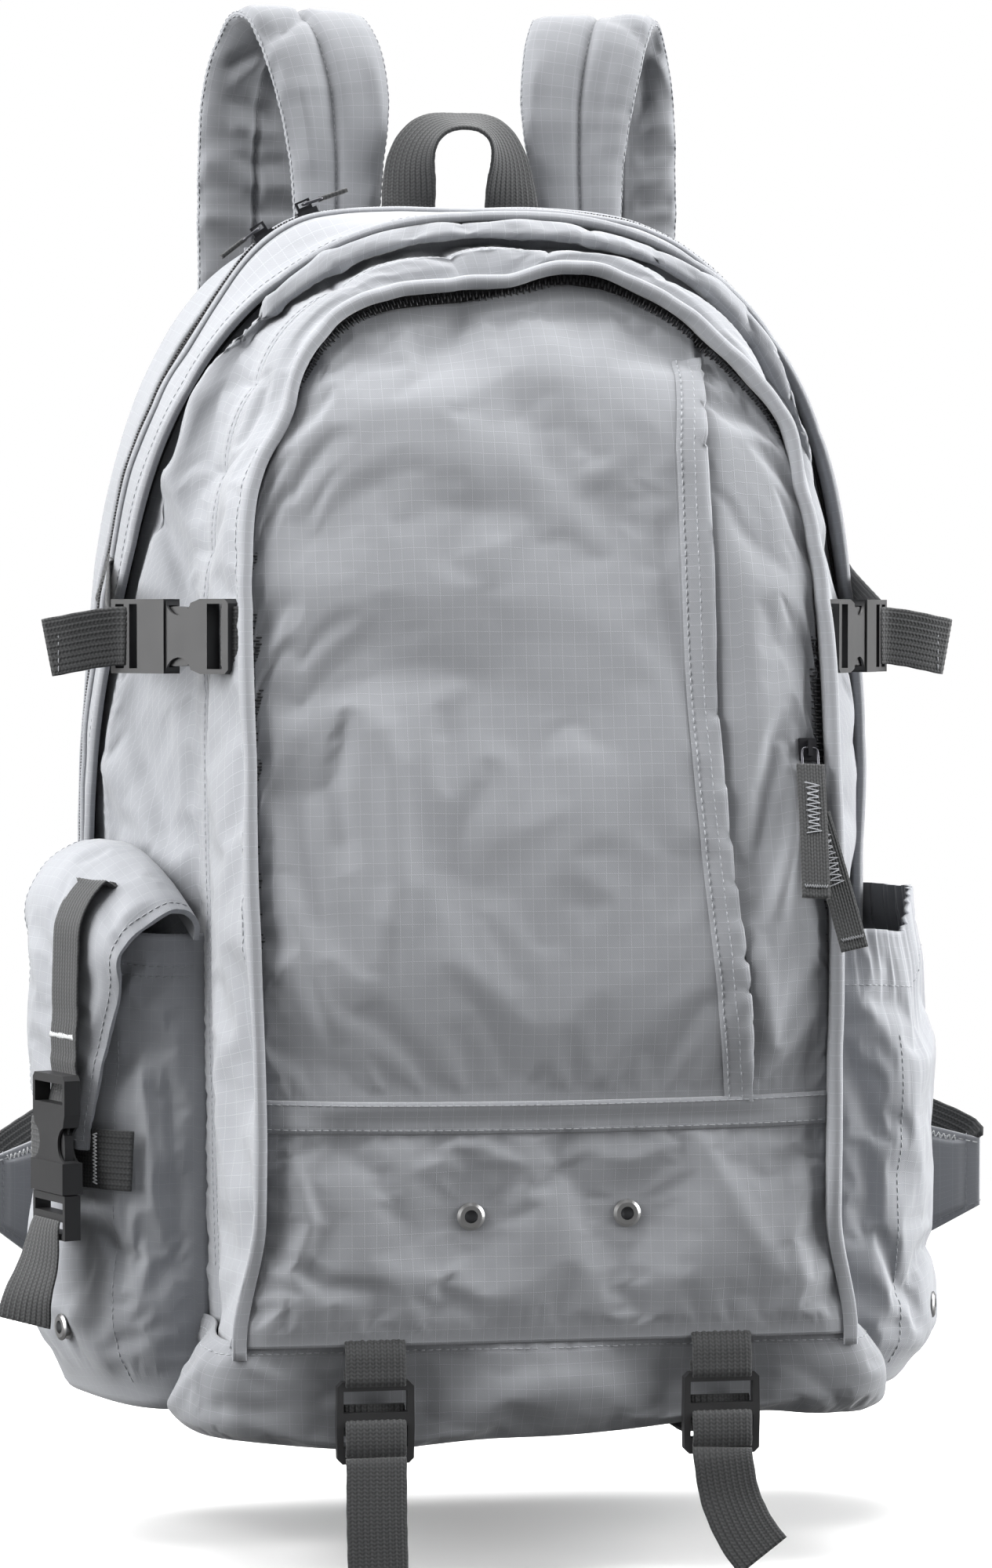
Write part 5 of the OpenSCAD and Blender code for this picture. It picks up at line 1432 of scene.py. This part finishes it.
def strap(s, name, seed):
    pts = SP * [s, 1, 1]
    k = len(pts)
    dense = cat(pts[:, None, :], np.linspace(0, k - 1, 900))[:, 0]
    wid = np.interp(np.linspace(0, k - 1, 900), np.arange(k), SW)
    D = np.r_[0, np.cumsum(np.linalg.norm(np.diff(dense, axis=0), axis=1))]
    n = int(D[-1] / 2.2)
    q = np.linspace(0, D[-1], n)
    Pc = np.stack([np.interp(q, D, dense[:, c]) for c in range(3)], -1)
    wv = np.interp(q, D, wid)
    Wd = np.broadcast_to(np.array([1.0, -0.10 * s, 0]), (n, 3))
    T, U, Bv = frames_from(Pc, Wd)
    ns = 72
    xs = np.sin(np.linspace(-1, 1, ns // 2) * math.pi / 2)
    rear = sm(q, 150, 215) * (1 - sm(q, 440, 500))
    fold = np.exp(-((q - 128) / 26) ** 2)
    G2 = np.zeros((n, ns, 2))
    for side in (1, -1):
        xx = xs[::side]
        h = 6.2 * np.clip(1 - np.abs(xx) ** 3.4, 0, 1) ** 0.55
        idx = slice(0, ns // 2) if side > 0 else slice(ns // 2, ns)
        X_ = xx[None] * (wv / 2)[:, None]
        seam_x = 1.5
        gr = np.exp(-np.abs((X_ - seam_x * s) / 1.9) ** 1.3) * (1.0 if side * -1 > 0 else 1.0)
        H_ = np.broadcast_to(h, X_.shape) * (1 - 0.55 * gr)
        pts3 = np.stack([X_, np.broadcast_to(q[:, None], X_.shape), np.full(X_.shape, 10.0 * side)], -1)
        wr = noise(pts3, (60, 9, 50), seed) * 1.5 + noise(pts3, (26, 6, 50), seed + 2) * 0.9
        edge = np.exp(-((1 - np.abs(xx)) / 0.25))[None]
        wrinkle = wr * (0.18 + 1.0 * rear[:, None] + 1.1 * fold[:, None] + 0.55 * edge)
        big = fbm(pts3, (70, 60, 60), seed + 5, 2) * 0.9
        G2[:, idx, 0] = X_ * (1 + 0.022 * noise(pts3 * [0, 1, 0], (1, 10, 1), seed + 7) * (0.4 + rear[:, None] + fold[:, None]))
        G2[:, idx, 1] = side * (H_ + (wrinkle + big) * (H_ > 1.0) * sm(H_, 0.8, 3.5))
    (V, F, uv) = sweep_data(Pc, U, Bv, G2)
    gv = V.reshape(n, ns, 3)
    ht_ = np.sum((gv - Pc[:, None]) * Bv[:, None], -1, keepdims=True)
    gv = creases(gv, Bv[:, None] * np.clip(ht_ / 4.5, -1, 1), STRAP_FOLDS[s])
    V = gv.reshape(-1, 3)
    per = np.concatenate([xs * 26, 60 + xs[::-1] * 26])
    uv = np.stack([np.broadcast_to(per, (n, ns)), np.broadcast_to(q[:, None], (n, ns))], -1).reshape(-1, 2)
    ob = mesh(name, V, F, uv, M_STRAP)
    bm = bmesh.new()
    bm.from_mesh(ob.data)
    bmesh.ops.recalc_face_normals(bm, faces=bm.faces)
    bm.to_mesh(ob.data)
    bm.free()
    body = "strap_left" if s < 0 else "strap_right"
    done(ob, body, "shoulder_strap_left" if s < 0 else "shoulder_strap_right")
    cen = n // 2
    for side in (1, -1):
        xx = xs[::side]
        i = int(np.argmin(np.abs(xx * 26 - 1.5 * s)))
        col = (0 if side > 0 else ns // 2) + i
        stitch_line(("thread", body), gv[3:-3, col], (Bv * side)[3:-3])
        for e in (2, len(xs) - 3):
            col = (0 if side > 0 else ns // 2) + e
            stitch_line(("thread", body), gv[3:-3, col], unit(Bv * side + U * np.sign(G2[3, col, 0]) * 0.6)[3:-3], lift=0.15)
    return gv, Pc, U, Bv


S_L = strap(-1, "shoulder_strap_left_pad", 5)
S_R = strap(1, "shoulder_strap_right_pad", 8)


# ------------------------------------------------------------------ handle
def hx(a):
    return 22.8 * spow(np.cos(a), 0.80)


mh = 26
aa = np.linspace(0, math.pi, mh)
crest = np.stack([hx(aa), 107.6 - 5 * np.sin(aa) ** 2, 526 + (556 - 3 - 526) * np.sin(aa) ** 0.8], -1)
pts = np.concatenate([[[23.2, 107.6, 508], [23.2, 107.6, 517]], crest, [[-23.2, 107.6, 517], [-23.2, 107.6, 508]]])
wds = np.concatenate([[[1, 0, 0], [1, 0, 0]], np.stack([spow(np.cos(aa), 0.7), 1.15 * np.sin(aa), 0.42 * np.sin(aa)], -1), [[-1, 0, 0], [-1, 0, 0]]])
webbing("grab_handle_webbing", pts, wds, M_WEB, width=24, thick=2.4, step=1.2, smooth=False)
done(MADE["grab_handle_webbing"], "handle", "grab_handle")
# the feet of the handle and the roots of the straps run down behind the top seam and are sewn on the yoke
for s, n in ((-1, "left"), (1, "right")):
    ft = [(s * 23.2, 107.7, 511), (s * 23.2, 108.6, 505), (s * 23.2, 110.7, 499), (s * 23.2, 111.5, 491), (s * 23.2, 111.5, 480)]
    webbing("handle_foot_%s" % n, ft, [(1, 0, 0), (1, 0, 0)], M_WEB, width=23.4, thick=1.5)
    done(MADE["handle_foot_%s" % n], "pack")
    rt = [(s * 54.5, 112.8, 509), (s * 54.5, 112.7, 503), (s * 54.5, 112.0, 496), (s * 54.5, 111.8, 488), (s * 54.5, 111.8, 478)]
    webbing("strap_root_%s" % n, rt, [(1, 0, 0), (1, 0, 0)], M_WEB, width=34, thick=2.0)
    done(MADE["strap_root_%s" % n], "pack")
    for x_, w_r, y_ in ((23.2, 20, 112.4), (54.5, 30, 112.9)):
        for z_ in (483, 489):
            xs_ = np.linspace(x_ - w_r / 2, x_ + w_r / 2, 16) * s
            stitch_line(("thread", "pack"), np.stack([xs_, np.full(16, y_), np.full(16, float(z_))], -1), np.broadcast_to([0, 1.0, 0], (16, 3)))
    tb = [(s * 102.8, 155.9, 217), (s * 104.0, 155.0, 210), (s * 104.8, 154.3, 205), (s * 105.3, 153.8, 199)]
    webbing("adjuster_tab_%s" % n, tb, [(1, 0.1 * s, 0.1 * s), (1, 0.1 * s, 0.1 * s)], M_WEB, width=24, thick=1.5)
    done(MADE["adjuster_tab_%s" % n], "strap_" + n)


# ------------------------------------------------------------------ compression straps
def comp(s):
    xdir = unit(np.array([-.62, .785, 0])) if s < 0 else unit(np.array([.52, .854, 0]))
    p = np.array([122.5 * s, -82, 325.0])
    o = p + 51 * xdir
    ydir = np.cross([0, 0, 1.0], xdir) if s < 0 else np.cross(xdir, [0, 0, 1.0])
    return xdir, p, o, ydir


for s, n in ((-1, "left"), (1, "right")):
    xd, p, o, yd = comp(s)
    col_ = int(np.argmin(np.abs(base0[:, 2] - 353.0) + 1e3 * (base0[:, 0] * s < 0)))
    anchor = PG[int(np.argmin(np.abs(PG[:iA - 6, col_, 1] - 58))), col_] + [1.6 * s, 0, 0]
    side_ = PG[iA, col_] + [2.6 * s, 2, -5]
    e = o + 17.0 * xd + 1.0 * yd
    web_pts = [anchor, side_, o + 27 * xd + 1.2 * yd + [-2.0 * s, 0, 2], o + 21.6 * xd + 1.0 * yd, e]
    webbing("compression_web_%s_w" % n, web_pts, [(0, 0.1, 1), (0, 0, 1)], M_WEB, width=24)
    ob = MADE["compression_web_%s_w" % n]
    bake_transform(ob)
    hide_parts("compression_web_" + n)
    # tail
    td = unit(np.array([s * .93, (.2 if s < 0 else .22), -.16]))
    t0 = o + 12.0 * xd + 3.2 * yd
    t1 = o + 14 * xd + 5.4 * yd
    L_ = 29
    tp = [t0 - xd * 2, t1, t1 + td * 10 + [0, -0.6, 0.4], t1 + td * 20 + [0, -0.9, 0.2], t1 + td * L_]
    webbing("compression_tail_%s_w" % n, tp, [(0, 0, 1), (s * 0.12, 0, 1)], M_WEB, width=24)
    done(MADE["compression_tail_%s_w" % n], "comp_tail_" + n, "compression_tail_" + n)
    nrm = unit(np.cross(td, [0, 0, 1.0]) * (1 if s > 0 else -1))
    if nrm[1] > 0:
        nrm = -nrm
    stitch_line(("thread", "comp_tail_" + n), np.stack([t1 + td * (L_ - 5) + np.array([0, 0, z_]) + nrm * 0.9 for z_ in np.linspace(-11, 11, 12)]), np.broadcast_to(nrm, (12, 3)))
    # fixed loop on the front side
    lp = [p + xd * -1.0 + yd * -0.6, p + xd * 3 + yd * 0.6, p + xd * 8 + yd * 1.2]
    webbing("compression_loop_%s_w" % n, lp, [(0, 0, 1), (0, 0, 1)], M_WEB, width=24)
    done(MADE["compression_loop_%s_w" % n], "pack")
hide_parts("compression_loops")

# ------------------------------------------------------------------ lower strap webbing, wings
for s, n, w_ in ((-1, "left", 215), (1, "right", 231)):
    pts = [(s * 105.5, 153.6, 203), (s * 107.5, 153, 190), (s * 113.5, 149.2, 157), (s * (w_ - 15 + 113.5) / 2, 112, 124), (s * (w_ - 15), 74.5, 101), (s * (w_ - 9), 68, 96)]
    webbing("lower_web_%s_w" % n, pts, [(1, 0.1 * s, 0.1 * s), (0.55, -0.1, 0.9 * s)], M_WEB, width=24)
    ob = MADE["lower_web_%s_w" % n]
    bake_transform(ob)
    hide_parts("lower_web_" + n)
    nu_, nv_ = 46, 46
    uu = np.linspace(0, 1, nu_)
    top_ = np.stack([s * (150 + (w_ - 3 - 150) * uu), 108.6 + (62 - 108.6) * uu, 116 + (100 - 116) * uu ** 1.2], -1)
    bot_ = np.stack([s * (150 + (w_ - 3 - 150) * uu), 108.6 + (62 - 108.6) * uu, 22 + (70 - 22) * uu ** 1.1], -1)
    vv_ = np.linspace(0, 1, nv_)[:, None, None]
    Pw = bot_[None] * (1 - vv_) + top_[None] * vv_
    nrm = unit(np.array([s * 46.6 / 76, 0, 0]) + np.array([0, (w_ - 153) / 76, 0]))
    nrm = unit(np.array([s * 46.6, w_ - 153.0, 0]))
    dd = np.minimum(np.minimum(uu[None] * 70, (1 - uu[None]) * 70), np.minimum(vv_[..., 0] * 60, (1 - vv_[..., 0]) * 60))
    puff = 2.0 * sm(dd, 0, 9) - 0.9 * np.exp(-((dd - 4.5) / 1.2) ** 2)
    front_ = Pw - nrm * (puff + 0.8)[..., None] + nrm * 0
    back_ = Pw + nrm * (puff + 0.8)[..., None]
    bag = Bag()
    F = grid_faces(nu_, nv_)
    V = np.concatenate([front_.reshape(-1, 3), back_.reshape(-1, 3)])
    k_ = nu_ * nv_
    i = np.arange(k_).reshape(nv_, nu_)
    rim = []
    for e in (i[0], i[:, -1], i[-1, ::-1], i[::-1, 0]):
        a, b = e[:-1], e[1:]
        rim.append(np.stack([a, b, b + k_, a + k_], -1))
    F = np.concatenate([F, F[:, ::-1] + k_] + rim)
    uvw = np.stack(np.broadcast_arrays(uu[None] * 76, vv_[..., 0] * 80), -1).reshape(-1, 2)
    ob = mesh("strap_wing_" + n, V, F, np.concatenate([uvw, uvw]), M_POCKET)
    bm = bmesh.new()
    bm.from_mesh(ob.data)
    bmesh.ops.recalc_face_normals(bm, faces=bm.faces)
    bm.to_mesh(ob.data)
    bm.free()
    done(ob, "pack")
    for vrow in (nv_ - 4,):
        stitch_line(("white", "pack"), front_[vrow, 6:], np.broadcast_to(-nrm, front_[vrow, 6:].shape))
    for vrow in (3,):
        stitch_line(("thread", "pack"), front_[vrow], np.broadcast_to(-nrm, front_[vrow].shape))
    stitch_line(("thread", "pack"), front_[:, nu_ - 4], np.broadcast_to(-nrm, (nv_, 3)))
    bar_tack(("white", "pack"), front_[nv_ - 4, nu_ - 12] - nrm * 0.4, top_[-1] - top_[0], -nrm, L=24, w=3.2, passes=10)
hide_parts("strap_wings")

# ------------------------------------------------------------------ lash straps
for s, n in ((-1, "left"), (1, "right")):
    x = 71.0 * s
    # loop from the base seam to the lock's top bar
    webbing("lash_loop_%s" % n, [(x, -108.6, 44), (x, -111.6, 38), (x, -112.4, 31), (x, -112.6, 26.5), (x, -110.4, 24.2), (x, -107.4, 26), (x, -107.0, 31)], [(1, 0, 0), (1, 0, 0)], M_WEB, width=24.5)
    done(MADE["lash_loop_%s" % n], "pack")
    tail = [(x, -107.0, 17), (x, -108.4, 12), (x, -112.0, 10.5), (x, -113.2, 6), (x, -113.4, 0.5), (x, -112.2, -3.5)]
    webbing("lash_wrap_%s" % n, tail, [(1, 0, 0), (1, 0, 0)], M_WEB, width=24.5)
    done(MADE["lash_wrap_%s" % n], "lash_lock_" + n)
    tl = [(-71, -112.6, -4), (-71, -114, -8), (-71.2, -116.0, -28), (-70.8, -117.0, -50)] if s < 0 else [(71, -112.6, -4), (71.2, -114, -9), (74, -114.0, -24), (80, -115.4, -38), (87, -117, -48)]
    wd = [(1, 0, 0), (1, 0, 0)] if s < 0 else [(1, 0, 0), (0.92, 0, -0.1), (0.86, 0, 0.5)]
    webbing("lash_tail_%s_w" % n, tl, wd, M_WEB, width=24.5)
    done(MADE["lash_tail_%s_w" % n], "lash_tail_" + n, "lash_tail_" + n)
    ws = [(x, 91, 0.6), (x, 40, -0.4), (x, -20, -0.8), (x, -70, -1.2), (x, -95, 0.4), (x, -103, 4.5), (x, -106.5, 10), (x, -107.0, 16)]
    webbing("lash_strap_%s" % n, ws, [(1, 0, 0), (1, 0, 0)], M_WEB, width=25, step=3)
    done(MADE["lash_strap_%s" % n], "pack")
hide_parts("lash_loops")
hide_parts("lash_straps")

# ------------------------------------------------------------------ zip pulls: a wire loop and a sewn webbing tab
def zip_pull(name, body, o, X, Y, Z, tilt, lean, up, L, w, tack=0.0, bend=0.0):
    ct, st, cl, sl_ = math.cos(tilt), math.sin(tilt), math.cos(lean), math.sin(lean)
    X, Y, Z, o = (np.asarray(v, float) for v in (X, Y, Z, o))
    Xr, Zr = ct * X - st * Z, st * X + ct * Z
    Xl, Yl = cl * Xr + sl_ * Y, -sl_ * Xr + cl * Y
    h = Xl if up else -Xl
    k = np.linspace(0, TAU, 41)
    lx, ly = 3.3 * spow(np.cos(k), 0.42), -4.3 + 4.3 * spow(np.sin(k), 0.42)
    loop = o + Yl * lx[:, None] - h * ly[:, None]
    V, F, uv = sweep_data(loop, unit(loop - (o + h * 4.3)), np.broadcast_to(Zr, loop.shape), ring(0.62, 8), caps=False)
    ob = mesh(name + "_wire", V, F, uv, M_GUN)
    done(ob, body)
    t_ = np.linspace(0, 1, 7)
    pts = o + h * (7.2 + (L + 1.7) * t_)[:, None] + Zr * (bend * np.sin(t_ * 3.0))[:, None]
    webbing(name + "_tab", pts, [Yl, Yl], M_WEB, width=w, thick=2.0, step=1.0)
    done(MADE[name + "_tab"], body, name)
    if tack:
        bar_tack(("thread", body), o + h * (10 + L * 0.30) + Zr * (1.15 + bend * math.sin(0.3 * 3.0)), h, Zr, L=tack, w=w * 0.55, passes=9, r=0.26)
        bar_tack(("dark", body), o + h * (L + 4.4) + Zr * (1.1 + bend * 0.2), Yl, Zr, L=w * 0.8, w=1.6, passes=9, r=0.2)


for a_, nm_, bd_, up_, tl_ in ((57, "main_zip_pull_left", "zip_pull_lower", False, -5), (66, "main_zip_pull_right", "zip_pull_upper", True, 5)):
    a_ = math.radians(a_)
    zip_pull(nm_, bd_, [-21.7 - math.cos(a_) * 140.7, 44, 381.3 + math.sin(a_) * 140.7], [math.sin(a_), 0, math.cos(a_)], [0, 1, 0], [-math.cos(a_), 0, math.sin(a_)],
             math.radians(tl_), 0, up_, 11, 6)
for z_, nm_, tl_, le_ in ((278.0, "front_pull_upper", 13, -3), (258.0, "front_pull_lower", 8, 12)):
    t_ = unit(np.array([0, y_fz(z_ + 10) - y_fz(z_ - 10), 20.0]))
    o_ = np.array([0, -t_[2], t_[1]])
    zip_pull(nm_, nm_, np.array([109.4, y_fz(z_), z_]) + o_ * 8.3, t_, [-1, 0, 0], o_, math.radians(tl_), math.radians(le_), False, 56, 11.6, tack=22, bend=0.8)

# ------------------------------------------------------------------ hard parts from the frame
HARD = {"buckle": M_PLASTIC, "lock": M_PLASTIC, "adjuster": M_PLASTIC, "female": M_PLASTIC, "male": M_PLASTIC, "eyelet": M_STEEL, "slider": M_GUN}
for nm, ob in NODES.items():
    mt = None
    for k_, m_ in HARD.items():
        if k_ in nm:
            mt = m_
            break
    if mt is None:
        continue
    ob.data.materials.clear()
    ob.data.materials.append(mt)
    bv = ob.modifiers.new("soft_edges", "BEVEL")
    bv.width = 0.0006
    bv.segments = 2
    bv.limit_method = "ANGLE"
    bv.angle_limit = math.radians(35)
    ob.modifiers.new("shade", "WEIGHTED_NORMAL")
    for p_ in ob.data.polygons:
        p_.use_smooth = True


# ------------------------------------------------------------------ threads, stage, camera, light
def finish_threads():
    for (kind, body), bag in THREADS.items():
        ob = bag.make("stitches_%s_%s" % (kind, body), {"thread": M_THREAD, "dark": M_THREAD_D, "white": M_WHITE}[kind])
        done(ob, body)


finish_threads()
sc = bpy.context.scene
for nm, ob in NODES.items():
    pass
fl = Bag()
s = 6000
fl.add([[-s, -s, -57], [s, -s, -57], [s, s, -57], [-s, s, -57]], [[0, 1, 2, 3]])
tb = NT("studio_floor")
cl = tb.noise(tb.obj(), 3.0, 3)
lpf = tb.node("ShaderNodeLightPath")
tb.out(Base_Color=tb.mix(lpf.outputs["Is Camera Ray"], (0.07, 0.07, 0.07), tb.mix(cl, (0.90, 0.90, 0.90), (0.94, 0.94, 0.94))), Roughness=0.9)
geo = tb.node("ShaderNodeNewGeometry")
ln = tb.node("ShaderNodeVectorMath", operation="LENGTH")
tb.t.links.new(geo.outputs["Position"], ln.inputs[0])
far = tb.m("MULTIPLY", tb.step(ln.outputs["Value"], 0.35, 1.3), lpf.outputs["Is Camera Ray"])
em = tb.node("ShaderNodeEmission")
em.inputs[0].default_value = (1, 1, 1, 1)
mx = tb.node("ShaderNodeMixShader")
tb.put(mx.inputs[0], far)
tb.t.links.new(tb.bsdf.outputs[0], mx.inputs[1])
tb.t.links.new(em.outputs[0], mx.inputs[2])
tb.t.links.new(mx.outputs[0], tb.t.nodes["Material Output"].inputs[0])
floor = fl.make("studio_floor", tb.mat)

w = bpy.data.worlds.new("studio")
sc.world = w
w.use_nodes = True
bg = w.node_tree.nodes["Background"]
wt = w.node_tree


def wn(kind, **k):
    n_ = wt.nodes.new(kind)
    for a_, v_ in k.items():
        setattr(n_, a_, v_)
    return n_


def wdot(vec, lo, hi, gain):
    """A soft patch of light around one direction."""
    d_ = wn("ShaderNodeVectorMath", operation="DOT_PRODUCT")
    wt.links.new(tc_.outputs["Generated"], d_.inputs[0])
    d_.inputs[1].default_value = unit(vec)
    m_ = wn("ShaderNodeMapRange", interpolation_type="SMOOTHSTEP")
    m_.inputs["From Min"].default_value, m_.inputs["From Max"].default_value = lo, hi
    m_.inputs["To Min"].default_value, m_.inputs["To Max"].default_value = 0, gain
    wt.links.new(d_.outputs["Value"], m_.inputs["Value"])
    return m_.outputs["Result"]


def wsum(a_, b_):
    s_ = wn("ShaderNodeMath", operation="ADD")
    for k_, v_ in enumerate((a_, b_)):
        if isinstance(v_, float):
            s_.inputs[k_].default_value = v_
        else:
            wt.links.new(v_, s_.inputs[k_])
    return s_.outputs[0]


tc_ = wn("ShaderNodeTexCoord")
soft = wsum(wsum(wsum(0.115, wdot((-0.95, -0.10, 0.28), 0.84, 0.97, 9.0)), wdot((0.96, -0.10, 0.20), 0.84, 0.97, 14.0)), wdot((-0.05, 0.10, 1.0), 0.80, 0.97, 8.0))
lp_ = wn("ShaderNodeLightPath")
mxw = wn("ShaderNodeMix", data_type="FLOAT")
wt.links.new(lp_.outputs["Is Camera Ray"], mxw.inputs[0])
wt.links.new(soft, mxw.inputs[2])
mxw.inputs[3].default_value = 1.0
wt.links.new(mxw.outputs[0], bg.inputs[1])
bg.inputs[0].default_value = (1, 1, 1, 1)


def area(name, loc, target, size, power, col=(1, 1, 1)):
    L = bpy.data.lights.new(name, "AREA")
    L.shape = "RECTANGLE"
    L.size, L.size_y = size
    L.energy = power
    L.color = col
    o = bpy.data.objects.new(name, L)
    sc.collection.objects.link(o)
    o.location = loc
    o.rotation_euler = (Vector(target) - Vector(loc)).to_track_quat("-Z", "Y").to_euler()
    return o


area("key", (-1.8, -0.5, 1.8), (0, 0, 0.3), (0.7, 0.7), 26)
area("edge_right", (2.0, -0.2, 0.9), (0, 0, 0.25), (0.7, 1.2), 10)
cam = bpy.data.cameras.new("camera")
cam.lens = 108.07
cam.sensor_width = 36.0
cam.sensor_fit = "AUTO"
cam.shift_x = -0.00375
co = bpy.data.objects.new("camera", cam)
sc.collection.objects.link(co)
co.location = Vector(EYE * 0.001)
co.rotation_euler = (-Vector(BACK)).to_track_quat("-Z", "Y").to_euler()
sc.camera = co
sc.view_settings.view_transform = "Standard"
sc.view_settings.look = "None"
